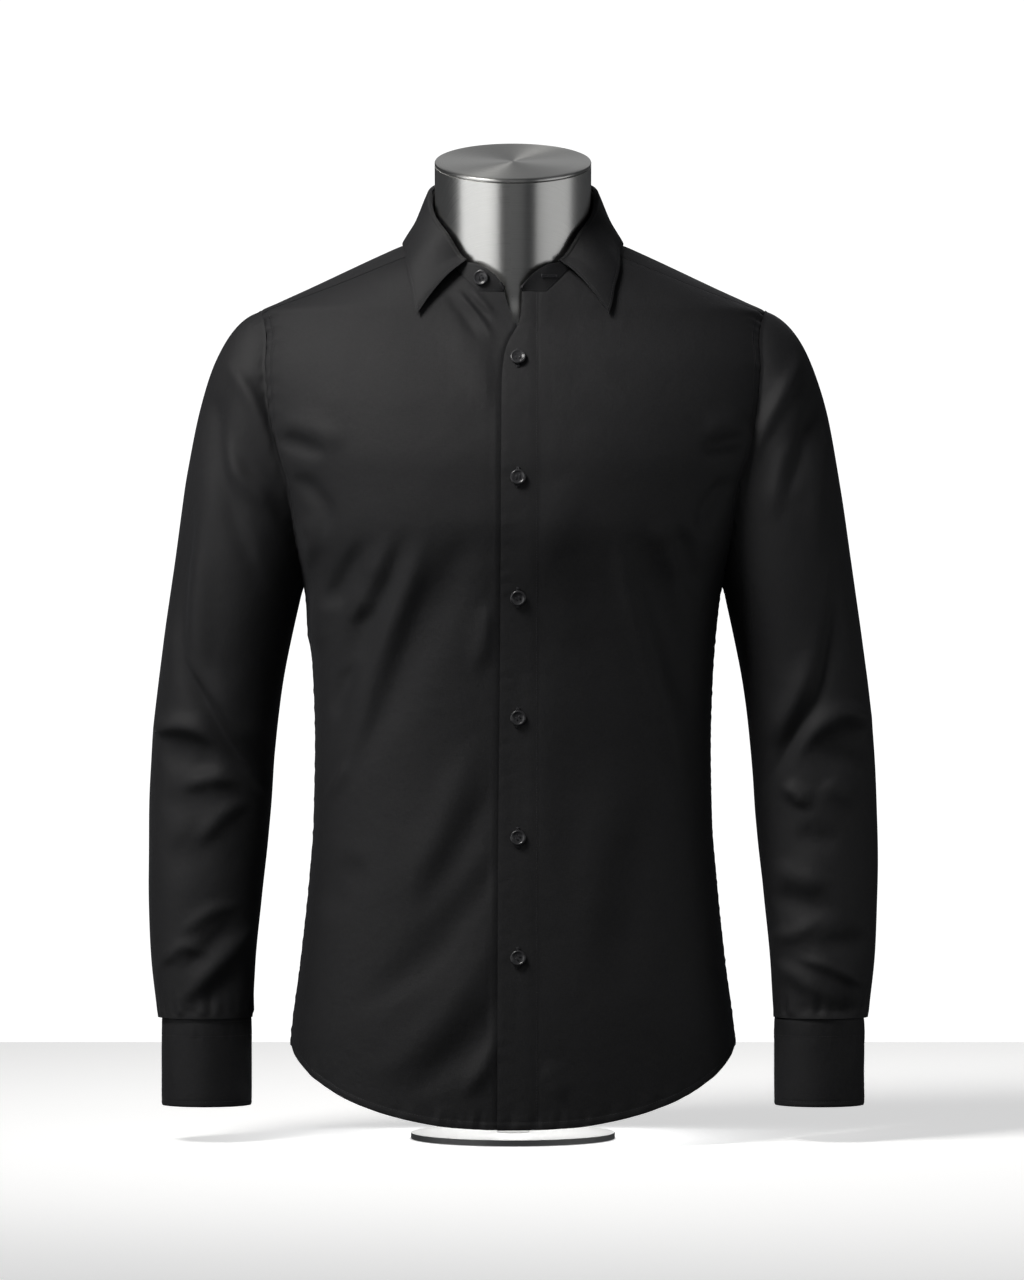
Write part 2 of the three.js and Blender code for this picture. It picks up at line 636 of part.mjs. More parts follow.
// The slit's strip lies on the back of the sleeve, on the sleeve's own grid.
function sleevePlacket(side, folds) {
  const surface = sleeveSurface(folds);
  const turns = SLEEVE_TURNS.slice(14, 17);
  const places = SLEEVE_PLACES.slice(-5);
  return onSide(side, wallGeometry(turns, places, (turn, place, face) => (
    movedOut(surface, turn, place, SLEEVE_STEP, GAP + CLOTH * (1 - face))
  )));
}

const CUFF_LAP = 0.4;
const CUFF_START = degrees(-75);

// The cuff's band starts under its own end, so its first stretch runs one cloth further in.
function cuffPoint(turn, z, inset) {
  const share = THREE.MathUtils.smoothstep(turn - CUFF_START, CUFF_LAP, CUFF_LAP + 0.9);
  const depth = inset + (1 - share) * (COLLAR_CLOTH + GAP);
  return new THREE.Vector3(
    CUFF.x + (CUFF.halfWidth - depth) * Math.cos(turn),
    CUFF.y - (CUFF.halfDepth - depth) * Math.sin(turn),
    z,
  );
}

function cuff(side) {
  const turns = steps(30, CUFF_START, CUFF_START + 2 * Math.PI + CUFF_LAP);
  return onSide(side, wallGeometry(turns, [CUFF.bottom, CUFF.top], (turn, z, face) => (
    cuffPoint(turn, z, COLLAR_CLOTH * face)
  )));
}

// ---- buttons ----

function buttonGeometry() {
  const outline = new THREE.Shape().absarc(0, 0, BUTTON_RADIUS, 0, 2 * Math.PI);
  const holeOffset = 1.5;
  for (const [x, y] of [[1, 1], [-1, 1], [-1, -1], [1, -1]]) {
    outline.holes.push(new THREE.Path().absarc(x * holeOffset, y * holeOffset, 0.8, 0, 2 * Math.PI, true));
  }
  return mergeVertices(new THREE.ExtrudeGeometry(outline, {
    depth: BUTTON_THICKNESS,
    bevelEnabled: false,
    curveSegments: 9,
  }));
}

// A button that lies a thread's height off a surface, with its back along the normal.
function placedButton(mesh, point, normal) {
  mesh.position.copy(point).addScaledVector(normal, GAP);
  mesh.quaternion.setFromUnitVectors(new THREE.Vector3(0, 0, 1), normal);
  return mesh;
}

// ---- dress form ----

function solidOf(geometry) {
  const bare = geometry.clone();
  bare.deleteAttribute('normal');
  bare.deleteAttribute('uv');
  const merged = mergeVertices(bare);
  return new wasm.Manifold(new wasm.Mesh({
    numProp: 3,
    vertProperties: new Float32Array(merged.attributes.position.array),
    triVerts: new Uint32Array(merged.index.array),
  }));
}

function geometryOf(solid) {
  const { vertProperties, triVerts } = solid.getMesh();
  return facingOut(Array.from(vertProperties), Array.from(triVerts));
}

// A cylinder on the neck's leaning axis, between two distances up that axis.
function neckCylinder(radius, from, to) {
  const geometry = new THREE.CylinderGeometry(radius, radius, to - from, 48);
  geometry.rotateX(Math.PI / 2 + NECK_LEAN);
  const middle = (from + to) / 2;
  geometry.translate(0, -middle * Math.sin(NECK_LEAN), NECK_CENTRE_Z + middle * Math.cos(NECK_LEAN));
  return solidOf(geometry);
}

// The torso's smooth skin, a set distance inside the shirt.
function torsoSkin() {
  const heights = [FORM_BOTTOM_Z, 200, 280, 360, 430, 490, 540, 590, 635, 665, 684, 696, 710, 725, 741];
  const azimuths = steps(36, 0, 2 * Math.PI).slice(0, -1);
  const positions = [];
  const index = [];
  for (const z of heights) {
    for (const azimuth of azimuths) {
      const point = movedOut(plainBody, azimuth, z, BODY_STEP, -FORM_INSET);
      if (z === FORM_BOTTOM_Z) point.z = z;
      positions.push(...point.toArray());
    }
  }
  const count = azimuths.length;
  for (let row = 0; row + 1 < heights.length; row++) {
    for (let column = 0; column < count; column++) {
      const [a, b] = [row * count + column, row * count + ((column + 1) % count)];
      index.push(a, b, b + count, a, b + count, a + count);
    }
  }
  const top = (heights.length - 1) * count;
  for (let column = 1; column + 1 < count; column++) {
    index.push(0, column + 1, column, top, top + column, top + column + 1);
  }
  return facingOut(positions, index);
}

const NECK_FOOT_RADIUS = 96;
const NECK_FOOT = -75;
const NECK_HEIGHT = (NECK_TOP_Z - NECK_CENTRE_Z) / Math.cos(NECK_LEAN);
const CAP_THICKNESS = 3;

function formParts() {
  const skin = solidOf(torsoSkin());
  const neck = neckCylinder(NECK_RADIUS, NECK_FOOT, NECK_HEIGHT - CAP_THICKNESS - GAP);
  const socket = neckCylinder(NECK_FOOT_RADIUS + GAP, NECK_FOOT - GAP, NECK_HEIGHT + 50);
  const foot = neckCylinder(NECK_FOOT_RADIUS, NECK_FOOT, NECK_HEIGHT + 50);
  return {
    torso: geometryOf(skin.subtract(socket)),
    neck: geometryOf(skin.intersect(foot).add(neck)),
    cap: geometryOf(neckCylinder(NECK_RADIUS, NECK_HEIGHT - CAP_THICKNESS, NECK_HEIGHT)),
  };
}

function upright(radius, bottom, top, segments) {
  return new THREE.CylinderGeometry(radius, radius, top - bottom, segments)
    .rotateX(Math.PI / 2)
    .translate(0, 0, (bottom + top) / 2);
}

// ---- the object ----

const blackPoplin = { color: 0x14151a, roughness: 0.75, metalness: 0 };
const darkButton = { color: 0x2a2b2f, roughness: 0.25, metalness: 0 };
const brushedSteel = { color: 0xb4b5b2, roughness: 0.3, metalness: 1 };
const greyForm = { color: 0x8c8c88, roughness: 0.8, metalness: 0 };
const paleLacquer = { color: 0xf0f0ee, roughness: 0.4, metalness: 0 };

const shirt = new THREE.Group();

function addMesh(name, geometry, look) {
  const mesh = new THREE.Mesh(geometry, new THREE.MeshStandardMaterial(look));
  mesh.name = name;
  shirt.add(mesh);
  return mesh;
}

addMesh('front_left', frontLeft(), blackPoplin);
addMesh('front_right', frontRight(), blackPoplin);
addMesh('placket', placket(), blackPoplin);
addMesh('back', back(), blackPoplin);
addMesh('yoke', yoke(), blackPoplin);
addMesh('collar_stand', collarStand(), blackPoplin);
addMesh('collar_leaf', collarLeaf(), blackPoplin);
for (const [name, side] of [['left', 1], ['right', -1]]) {
  addMesh(`sleeve_${name}`, sleeve(side, SLEEVE_FOLDS[name]), blackPoplin);
  addMesh(`sleeve_placket_${name}`, sleevePlacket(side, SLEEVE_FOLDS[name]), blackPoplin);
  addMesh(`cuff_${name}`, cuff(side), blackPoplin);
  const outward = new THREE.Vector3(side * Math.cos(degrees(-65)), -Math.sin(degrees(-65)), 0);
  const seat = cuffPoint(degrees(-65) + 2 * Math.PI, (CUFF.bottom + CUFF.top) / 2, 0);
  seat.x *= side;
  placedButton(addMesh(`button_cuff_${name}`, buttonGeometry(), darkButton), seat, outward);
}
for (let i = 0; i < FRONT_BUTTONS; i++) {
  const z = FRONT_BUTTON_TOP_Z - i * FRONT_BUTTON_SPACING;
  const place = [azimuthAt(FRONT_BUTTON_X, z), z];
  const seat = onBody(place, GAP + CLOTH);
  const outward = onBody(place, GAP + CLOTH + 1).sub(seat);
  placedButton(addMesh(`button_front_${i + 1}`, buttonGeometry(), darkButton), seat, outward);
}
const collarButtonPlace = [standShare(2 * Math.PI - COLLAR_BUTTON_AZIMUTH), 0.5];
const standFace = (u, v, distance) => movedOut(standSurface, u, v, [0.002, 0.02], distance);
const collarSeat = standFace(...collarButtonPlace, COLLAR_CLOTH / 2 + GAP);
const collarOutward = standFace(...collarButtonPlace, COLLAR_CLOTH / 2 + GAP + 1).sub(collarSeat);
placedButton(addMesh('button_collar', buttonGeometry(), darkButton), collarSeat, collarOutward);

const form = formParts();
addMesh('form_torso', form.torso, greyForm);
addMesh('form_neck', form.neck, brushedSteel);
addMesh('form_cap', form.cap, brushedSteel);
addMesh('form_pole', upright(POLE_RADIUS, BASE_THICKNESS + GAP, FORM_BOTTOM_Z - GAP, 24), paleLacquer);
addMesh('form_base', upright(BASE_RADIUS, 0, BASE_THICKNESS, 48), paleLacquer);

export default shirt;
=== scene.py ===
import math

import bpy
import numpy as np
from mathutils import Matrix, Vector


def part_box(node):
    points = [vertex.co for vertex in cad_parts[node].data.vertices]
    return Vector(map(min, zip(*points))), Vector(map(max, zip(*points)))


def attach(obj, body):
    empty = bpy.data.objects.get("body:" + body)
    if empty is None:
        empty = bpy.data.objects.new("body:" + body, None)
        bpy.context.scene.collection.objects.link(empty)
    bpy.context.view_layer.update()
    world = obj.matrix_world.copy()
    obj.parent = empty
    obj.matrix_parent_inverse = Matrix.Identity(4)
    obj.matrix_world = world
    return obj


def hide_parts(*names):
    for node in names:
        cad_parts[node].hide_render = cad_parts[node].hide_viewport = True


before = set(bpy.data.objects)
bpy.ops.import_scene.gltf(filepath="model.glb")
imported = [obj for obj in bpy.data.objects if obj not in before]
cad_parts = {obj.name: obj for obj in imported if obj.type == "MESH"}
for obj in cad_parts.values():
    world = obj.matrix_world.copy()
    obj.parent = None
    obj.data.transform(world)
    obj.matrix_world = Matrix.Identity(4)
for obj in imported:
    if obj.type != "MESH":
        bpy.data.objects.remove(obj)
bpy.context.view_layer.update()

# A black dress shirt on a dress form. Shapes are worked out in millimetres and made in metres.
MM = 0.001
SEED = 11

# ---- sizes, the same as the solids' own ----

CUFF_LOW, CUFF_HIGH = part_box("cuff_left")
CUFF_BOTTOM, CUFF_TOP = CUFF_LOW[2] / MM, CUFF_HIGH[2] / MM
CUFF_X = (CUFF_LOW[0] + CUFF_HIGH[0]) / 2 / MM
CUFF_Y = (CUFF_LOW[1] + CUFF_HIGH[1]) / 2 / MM
CUFF_HALF_WIDTH = (CUFF_HIGH[0] - CUFF_LOW[0]) / 2 / MM
CUFF_HALF_DEPTH = (CUFF_HIGH[1] - CUFF_LOW[1]) / 2 / MM

CLOTH = 0.8
COLLAR_CLOTH = 1.5
ARMPIT_Z = 461
SHOULDER_Z = 688
ARMHOLE_HALF_DEPTH = 55
SIDE_HEM_Z = 78
BACK_YOKE_Z = 657
FRONT_YOKE_Z = 684
YOKE_NECK_AZIMUTH = math.radians(68)
NECK_RADIUS = 65
NECK_LEAN = math.radians(18)
NECK_CENTRE_Z = 731
NECKLINE_RADIUS = 73
FRONT_NECKLINE_Z = 702
STAND_FRONT_AZIMUTH = math.radians(5.9)
LEAF_ROLL_AZIMUTH = math.radians(34)
LEAF_POINT_AZIMUTH = math.radians(48)
ROLL_RADIUS = 1.8
ROLL_SHARE = 0.12
PLACKET_LINE = 21
UNDERLAP_EDGE = 18
UNDERLAP_DEPTH = 1.35
SEAM_LAP = 0.05
PLACKET_CLOTH = 0.5
HEM_BAND = 6
ARMHOLE_STITCHES = (7, 8.8)
CUFF_STITCHES = (2.2, 14)
CUFF_EDGE_STITCH = 4.5
BODY_GIRTH_RADIUS = 165
STAND_TOP_HALF_WIDTH = 67.6
STAND_TOP_HALF_DEPTH = 71

# The form lies 8 mm inside the cloth, so troughs level off before they reach it.
DEEPEST_FOLD = 5.5

# How deep a buttonhole's bead lies below its button's back, so that the two don't touch.
HOLE_DEPTH = 0.75
COLLAR_HOLE_AZIMUTH = math.radians(24.5)


def profile(points):
    """A smooth curve through (position, value) pairs that never swings past them."""
    at = np.array([p[0] for p in points], float)
    value = np.array([p[1] for p in points], float)
    slopes = np.diff(value) / np.diff(at)
    before = np.concatenate([slopes[:1], slopes])
    after = np.concatenate([slopes, slopes[-1:]])
    product = before * after
    total = np.where(product > 0, before + after, 1)
    tangents = np.where(product > 0, 2 * product / total, 0)

    def curve(x):
        x = np.clip(x, at[0], at[-1])
        left = np.clip(np.searchsorted(at, x, side="right") - 1, 0, len(at) - 2)
        span = at[left + 1] - at[left]
        t = (x - at[left]) / span
        return hermite(value[left], tangents[left] * span, value[left + 1], tangents[left + 1] * span, t)

    return curve


def hermite(start, start_slope, end, end_slope, t):
    s = 1 - t
    ends = start * (1 + 2 * t) * s * s + start_slope * t * s * s
    return ends + end * t * t * (3 - 2 * t) - end_slope * t * t * s


def mix(a, b, t):
    return a + (b - a) * t


def smoothstep(x, low, high):
    t = np.clip((x - low) / (high - low), 0, 1)
    return t * t * (3 - 2 * t)


def solve(fn, value, low, high):
    """The inputs at which a falling or rising function reaches its values, by halving the range."""
    value = np.asarray(value, float)
    low = np.broadcast_to(np.asarray(low, float), value.shape).copy()
    high = np.broadcast_to(np.asarray(high, float), value.shape).copy()
    rising = fn(high) > fn(low)
    for _ in range(36):
        middle = (low + high) / 2
        below = (fn(middle) < value) == rising
        low = np.where(below, middle, low)
        high = np.where(below, high, middle)
    return (low + high) / 2


def unit(vectors):
    return vectors / np.maximum(np.linalg.norm(vectors, axis=-1, keepdims=True), 1e-9)


def stack(x, y, z):
    return np.stack(np.broadcast_arrays(x, y, z), axis=-1).astype(float)


# ---- the filled-out body ----

half_width = profile([
    (0, 187), (81, 185), (148, 177), (215, 170), (265, 166), (330, 165), (381, 166.5), (448, 172.5),
    (461, 175), (500, 188), (540, 200.5), (570, 214), (600, 222), (640, 226), (660, 222), (684, 213),
    (688, 211), (696, 195), (706, 173), (741, 98), (750, 77), (756, 72), (770, 70),
])
front_depth = profile([
    (0, 113), (100, 111), (200, 105), (300, 101), (380, 104), (440, 110), (480, 117), (515, 122),
    (555, 120), (600, 110), (640, 95), (676, 77), (700, 69), (720, 60), (734, 47), (752, 26), (770, 20),
])
back_depth = profile([
    (0, 104), (100, 104), (200, 97), (300, 88), (400, 95), (500, 105), (580, 108), (640, 103),
    (684, 94), (710, 88), (741, 79), (754, 73), (770, 68),
])
squareness = profile([(0, 2.3), (600, 2.3), (735, 2), (770, 2)])
hem_height = profile([
    (0, 14.6), (50, 17.2), (87, 23), (131, 36), (164, 54), (176, 64.5), (182, 71.5), (185, SIDE_HEM_Z),
])


def body_radius(azimuth, z):
    depth = np.where(np.cos(azimuth) > 0, front_depth(z), back_depth(z))
    across = np.abs(np.sin(azimuth)) / half_width(z)
    along = np.abs(np.cos(azimuth)) / depth
    power = squareness(z)
    return (across ** power + along ** power) ** (-1 / power)


def plain_body(azimuth, z):
    radius = body_radius(azimuth, z)
    return stack(radius * np.sin(azimuth), -radius * np.cos(azimuth), z)


def body_normal(azimuth, z):
    along_u = plain_body(azimuth + 0.004, z) - plain_body(azimuth - 0.004, z)
    along_v = plain_body(azimuth, z + 0.6) - plain_body(azimuth, z - 0.6)
    return unit(np.cross(along_u, along_v))


def azimuth_at(x, z):
    return solve(lambda a: body_radius(a, z) * np.sin(a), x, -math.pi / 2, math.pi / 2)


def hem_z(azimuth):
    return hem_height(np.abs(body_radius(azimuth, 40) * np.sin(azimuth)))


def neckline_z(azimuth):
    azimuth = np.asarray(azimuth, float)
    radius = np.full(azimuth.shape, float(NECKLINE_RADIUS))
    round_z = solve(lambda z: body_radius(azimuth, z), radius, 655, 765)
    return np.maximum(round_z, FRONT_NECKLINE_Z)


# ---- folds: (path of (x, z), half width, rise, lean) ----
# A fold follows its path on the front or back of the cloth and fades at both ends. A ridge has a
# positive rise. A lean over 0 makes the side to the right of the path steeper.

FRONT_FOLDS = [
    ([(-97, 506), (-115, 456), (-136, 426)], 8, 5.0, -0.3),
    ([(-66, 512), (-84, 462), (-104, 406), (-124, 344), (-148, 286)], 10, 4.8, -0.3),
    ([(-84, 508), (-108, 458), (-128, 412), (-150, 360)], 9, -4.4, 0.2),
    ([(-117, 504), (-139, 462), (-160, 440)], 8, -4.2, 0.2),
    ([(-24, 512), (-56, 462), (-88, 404), (-114, 350), (-138, 296)], 15, -5.0, 0.2),
    ([(-150, 470), (-162, 430), (-163, 400)], 8, 2.6, 0.0),
    ([(-16, 450), (-22, 420), (-34, 380)], 8, 2.6, 0.0),
    ([(-128, 400), (-142, 374), (-148, 344)], 6, -3.4, 0.4),
    ([(-133, 318), (-143, 300), (-156, 280)], 4, 1.8, 0.0),
    ([(-28, 340), (-56, 268), (-98, 190)], 12, 2.8, 0.0),
    ([(-14, 306), (-46, 238), (-84, 180)], 10, -2.6, 0.0),
    ([(-120, 240), (-140, 214), (-156, 180)], 11, -2.8, 0.0),
    ([(0, 250), (-40, 194), (-78, 148), (-144, 102)], 13, -3.8, -0.3),
    ([(0, 196), (-40, 130), (-78, 84), (-124, 50)], 12, 2.6, 0.0),
    ([(4, 136), (-36, 84), (-94, 38)], 11, -3.0, -0.2),
    ([(-8, 92), (-24, 66), (-44, 40)], 7, 2.6, 0.0),
    ([(82, 520), (93, 466), (108, 410), (132, 322), (140, 270)], 11, 4.8, 0.5),
    ([(104, 510), (118, 460), (136, 396), (146, 340)], 12, -3.8, -0.2),
    ([(118, 518), (126, 492), (138, 456)], 6, 2.4, 0.0),
    ([(132, 512), (142, 480), (152, 440)], 8, -3.2, 0.0),
    ([(52, 516), (62, 440), (84, 352)], 15, -2.0, 0.0),
    ([(50, 556), (36, 510), (10, 460)], 14, 1.4, 0.0),
    ([(30, 420), (26, 300), (34, 190)], 14, 1.6, 0.0),
    ([(92, 330), (70, 230), (60, 130)], 16, 2.2, 0.0),
    ([(112, 300), (96, 200), (92, 110)], 14, -2.6, 0.0),
    ([(-198, 582), (-174, 574), (-150, 566)], 6.5, -5.0, 0.4),
    ([(-198, 598), (-176, 590), (-152, 582), (-134, 572)], 8, 2.6, 0.0),
    ([(-186, 548), (-168, 540), (-154, 520), (-156, 496)], 6, -4.2, 0.3),
    ([(-176, 520), (-166, 500), (-168, 470)], 6, 2.6, 0.0),
    ([(198, 584), (174, 576), (150, 568)], 6.5, -4.6, 0.4),
    ([(198, 600), (176, 592), (152, 584)], 8, 2.4, 0.0),
    ([(186, 548), (168, 538), (156, 516), (158, 494)], 6, -3.8, 0.3),
    ([(24, 72), (34, 56), (44, 34)], 6, 1.4, 0.0),
    ([(-50, 706), (-36, 690), (-22, 672), (-9, 650)], 2.4, 1.2, 0.0),
    ([(-44, 706), (-30, 690), (-14, 670)], 2.2, -1.1, 0.0),
    ([(-36, 705), (-24, 692), (-9, 676)], 2.4, 1.1, 0.0),
    ([(-58, 704), (-42, 684), (-26, 658)], 3.6, -1.2, 0.0),
    ([(-60, 690), (-30, 640), (-16, 590)], 12, 1.6, 0.0),
]
BACK_FOLDS = [
    ([(-88, 600), (-96, 430), (-84, 300)], 15, 3.2, 0.0),
    ([(-110, 560), (-118, 430), (-108, 320)], 12, -3.0, 0.0),
    ([(92, 610), (100, 440), (88, 290)], 15, 3.2, 0.0),
    ([(112, 570), (122, 430), (110, 310)], 12, -3.0, 0.0),
    ([(-20, 420), (-60, 330), (-130, 262)], 11, -3.4, 0.3),
    ([(-20, 380), (-64, 300), (-136, 236)], 12, 3.0, 0.0),
    ([(26, 400), (66, 318), (134, 250)], 11, -3.4, -0.3),
    ([(26, 364), (68, 290), (138, 226)], 12, 3.0, 0.0),
    ([(-10, 300), (0, 240), (8, 150)], 14, 2.0, 0.0),
    ([(-196, 590), (-172, 572), (-150, 548)], 9, -4.0, 0.3),
    ([(196, 588), (174, 570), (150, 546)], 9, -4.0, 0.3),
    ([(-190, 556), (-168, 530), (-156, 500)], 9, 3.0, 0.0),
    ([(190, 556), (168, 530), (156, 500)], 9, 3.0, 0.0),
    ([(-70, 200), (-110, 140), (-150, 100)], 13, -2.6, 0.0),
    ([(70, 190), (112, 130), (150, 92)], 13, -2.6, 0.0),
]
RIGHT_SLEEVE_FOLDS = [
    ([(238, 650), (231, 637), (215, 613), (197, 566), (186, 545), (174, 512)], 6, -4.0, 0.3),
    ([(250, 640), (240, 606), (222, 566), (208, 530)], 9, 2.6, 0.0),
    ([(240, 590), (228, 554), (208, 534), (192, 508)], 7, -4.0, 0.2),
    ([(254, 625), (248, 603), (239, 552), (222, 494), (198, 445)], 9, 4.6, 0.4),
    ([(264, 545), (268, 510), (273, 460), (274, 420), (268, 385)], 7, 4.4, 0.3),
    ([(254, 520), (260, 470), (260, 420), (252, 385)], 8, -3.2, 0.0),
    ([(276, 412), (268, 388), (250, 359), (236, 336), (214, 304), (196, 278)], 8, 7.0, 0.8),
    ([(256, 400), (238, 368), (220, 340), (198, 316)], 10, -4.5, 0.0),
    ([(304, 336), (292, 341), (276, 344), (256, 338), (232, 316)], 7, -6.0, -0.3),
    ([(296, 318), (276, 320), (256, 314), (236, 304)], 12, 5.0, 0.0),
    ([(276, 290), (260, 299), (244, 301), (224, 294)], 6, -4.4, 0.0),
    ([(296, 282), (270, 280), (246, 286)], 10, 2.4, 0.0),
    ([(262, 244), (250, 260), (236, 274), (216, 282)], 6, -3.4, 0.0),
    ([(292, 246), (268, 236), (240, 246)], 12, 2.2, 0.0),
    ([(278, 168), (262, 182), (246, 192), (222, 197)], 5, -2.4, 0.0),
    ([(294, 140), (284, 154), (268, 162), (246, 152)], 5, -2.8, 0.0),
    ([(280, 136), (262, 150), (242, 172), (224, 192)], 6, 1.8, 0.0),
    ([(280, 112), (262, 128), (244, 147), (226, 166), (210, 184)], 6, -3.8, 0.0),
    ([(264, 108), (242, 126), (222, 148)], 7, 2.2, 0.0),
]
LEFT_SLEEVE_FOLDS = [
    ([(240, 660), (231, 634), (220, 612), (207, 586), (196, 556)], 6, -4.0, -0.4),
    ([(256, 624), (245, 594), (231, 556), (223, 522)], 7, 4.6, 0.0),
    ([(264, 610), (258, 570), (250, 520), (252, 470)], 7, -3.0, 0.0),
    ([(236, 590), (222, 552), (212, 510)], 7, -3.0, 0.0),
    ([(268, 500), (264, 450), (260, 410), (252, 378), (235, 344), (219, 312), (198, 280)], 7, 6.0, 0.6),
    ([(250, 420), (240, 378), (222, 346), (204, 322)], 9, -4.4, 0.0),
    ([(304, 344), (290, 350), (272, 354), (248, 337), (228, 312)], 8, -6.0, -0.3),
    ([(304, 316), (274, 328), (250, 304)], 13, 4.8, 0.0),
    ([(220, 294), (234, 288), (246, 274)], 6, -4.6, 0.2),
    ([(254, 300), (268, 290), (290, 286)], 8, -2.6, 0.0),
    ([(232, 262), (250, 250), (276, 256)], 9, 2.4, 0.0),
    ([(212, 232), (236, 218), (268, 216)], 9, -3.0, 0.0),
    ([(210, 206), (238, 198), (276, 190)], 9, 2.8, 0.0),
    ([(210, 170), (232, 172), (258, 186)], 6, -2.8, 0.0),
    ([(230, 152), (254, 148), (276, 138), (296, 126)], 5, -3.0, 0.2),
    ([(298, 170), (274, 164), (246, 166)], 8, 2.8, 0.0),
    ([(212, 150), (236, 136), (262, 118)], 6, -2.8, 0.0),
    ([(296, 112), (266, 108), (232, 114)], 7, 2.4, 0.0),
]
SLEEVE_BACK_FOLDS = [
    ([(244, 650), (228, 612), (204, 566), (194, 540)], 9, -3.8, 0.3),
    ([(258, 610), (246, 560), (236, 510)], 10, 3.0, 0.0),
    ([(300, 372), (272, 352), (236, 358), (206, 372)], 10, -5.0, 0.0),
    ([(302, 336), (270, 326), (232, 332), (206, 344)], 12, 4.4, 0.0),
    ([(302, 300), (270, 296), (240, 306)], 9, -4.0, 0.0),
    ([(222, 204), (252, 180), (288, 172)], 9, 3.4, 0.0),
    ([(224, 176), (250, 150), (284, 140)], 8, -4.2, 0.0),
    ([(226, 130), (256, 120), (286, 118)], 7, 3.0, 0.0),
]


def fold_height(folds, x, z):
    height = np.zeros(np.shape(x))
    for path, width, rise, lean in folds:
        points = smooth_path(path)
        reach = 3.2 * width
        low, high = points.min(axis=0) - reach, points.max(axis=0) + reach
        near = (x > low[0]) & (x < high[0]) & (z > low[1]) & (z < high[1])
        if near.any():
            height[near] += one_fold(points, width, rise, lean, x[near], z[near])
    return height


def smooth_path(path, steps=5):
    """More points along a fold's path, on a curve through those given."""
    points = np.array(path, float)
    at = np.arange(len(points))
    fine = np.linspace(0, len(points) - 1, (len(points) - 1) * steps + 1)
    slopes = np.gradient(points, axis=0)
    left = np.minimum(fine.astype(int), len(points) - 2)
    t = (fine - at[left])[:, None]
    return hermite(points[left], slopes[left], points[left + 1], slopes[left + 1], t)


def one_fold(points, width, rise, lean, x, z):
    """A soft ridge or trough along a path: steeper on one side with a lean, and fading at both ends."""
    best = np.full(x.shape, 1e9)
    place = np.zeros(x.shape)
    side = np.zeros(x.shape)
    count = len(points) - 1
    for i in range(count):
        dx, dz = points[i + 1] - points[i]
        length = math.hypot(dx, dz)
        along = ((x - points[i][0]) * dx + (z - points[i][1]) * dz) / length ** 2
        t = np.clip(along, 0, 1)
        distance = np.hypot(x - points[i][0] - t * dx, z - points[i][1] - t * dz)
        closer = distance < best
        best = np.where(closer, distance, best)
        place = np.where(closer, (i + t) / count, place)
        turn = (dz * (x - points[i][0]) - dx * (z - points[i][1])) / length
        side = np.where(closer, np.sign(turn), side)
    ends = np.minimum(place, 1 - place)
    fade = smoothstep(ends, 0, 0.38)
    spread = width * (0.75 + 0.5 * fade) * np.where(side * np.sign(lean) > 0, 1 - 0.6 * abs(lean), 1)
    return rise * fade * np.exp(-((best / spread) ** 2))


def ripples(x, z, seed, height, longest):
    """Faint uneven waves, mostly up and down the cloth."""
    rng = np.random.default_rng(seed)
    total = np.zeros(np.shape(x))
    for _ in range(9):
        wave = longest * rng.uniform(0.35, 1.0)
        slant = rng.normal(0, 0.45)
        phase = rng.uniform(0, 2 * math.pi, 2)
        across = np.cos(slant) * x + np.sin(slant) * z
        along = -np.sin(slant) * x + np.cos(slant) * z
        sway = 0.8 * np.sin(2 * math.pi * along / (3.1 * wave) + phase[1])
        total += np.sin(2 * math.pi * across / wave + phase[0] + sway) * wave
    return height * total / (9 * longest)


# ---- cloth panels as grids of (azimuth, z) ----

ARMHOLE_CENTRE_Z = (SHOULDER_Z + ARMPIT_Z) / 2
ARMHOLE_HALF_HEIGHT = (SHOULDER_Z - ARMPIT_Z) / 2
SIDE_SEAM = math.pi / 2
SIDE_SEAM_SHARE = 0.625
NECKLINE_SHARE = 0.4

top_edge_x = profile([
    (0, -12.8), (200, -12.4), (400, -10.6), (600, -9.4), (627, -9.1), (649, -7), (661, -3), (672, 3.2),
    (682, 6.2), (FRONT_NECKLINE_Z, 7.4),
])
under_edge_x = profile([
    (0, -UNDERLAP_EDGE), (600, -UNDERLAP_EDGE), (640, -14), (663, -7), (674, -2.8), (688, 3.2),
    (FRONT_NECKLINE_Z, 7.4),
])


def armhole(turn, side):
    z = ARMHOLE_CENTRE_Z + ARMHOLE_HALF_HEIGHT * np.cos(turn)
    y = -ARMHOLE_HALF_DEPTH * np.sin(turn)
    depth = np.where(y < 0, front_depth(z), back_depth(z))
    power = squareness(z)
    x = side * half_width(z) * (1 - (np.abs(y) / depth) ** power) ** (1 / power)
    return stack(x, y, z)


def armhole_turn(z):
    return math.acos((z - ARMHOLE_CENTRE_Z) / ARMHOLE_HALF_HEIGHT)


def armhole_edge(turn, side):
    x, y, z = np.moveaxis(armhole(turn, side), -1, 0)
    azimuth = np.arctan2(x, -y)
    return np.stack([np.where((azimuth < 0) & (y >= 0), azimuth + 2 * math.pi, azimuth), z], axis=-1)


def patch(bottom, top, left, right, us, vs):
    """A grid that fills four edge curves, blended so that it meets all of them."""
    u, v = us[None, :, None], vs[:, None, None]
    sides = mix(bottom[None], top[None], v) + mix(left[:, None], right[:, None], u)
    corners = mix(mix(bottom[0], bottom[-1], u), mix(top[0], top[-1], u), v)
    return sides - corners


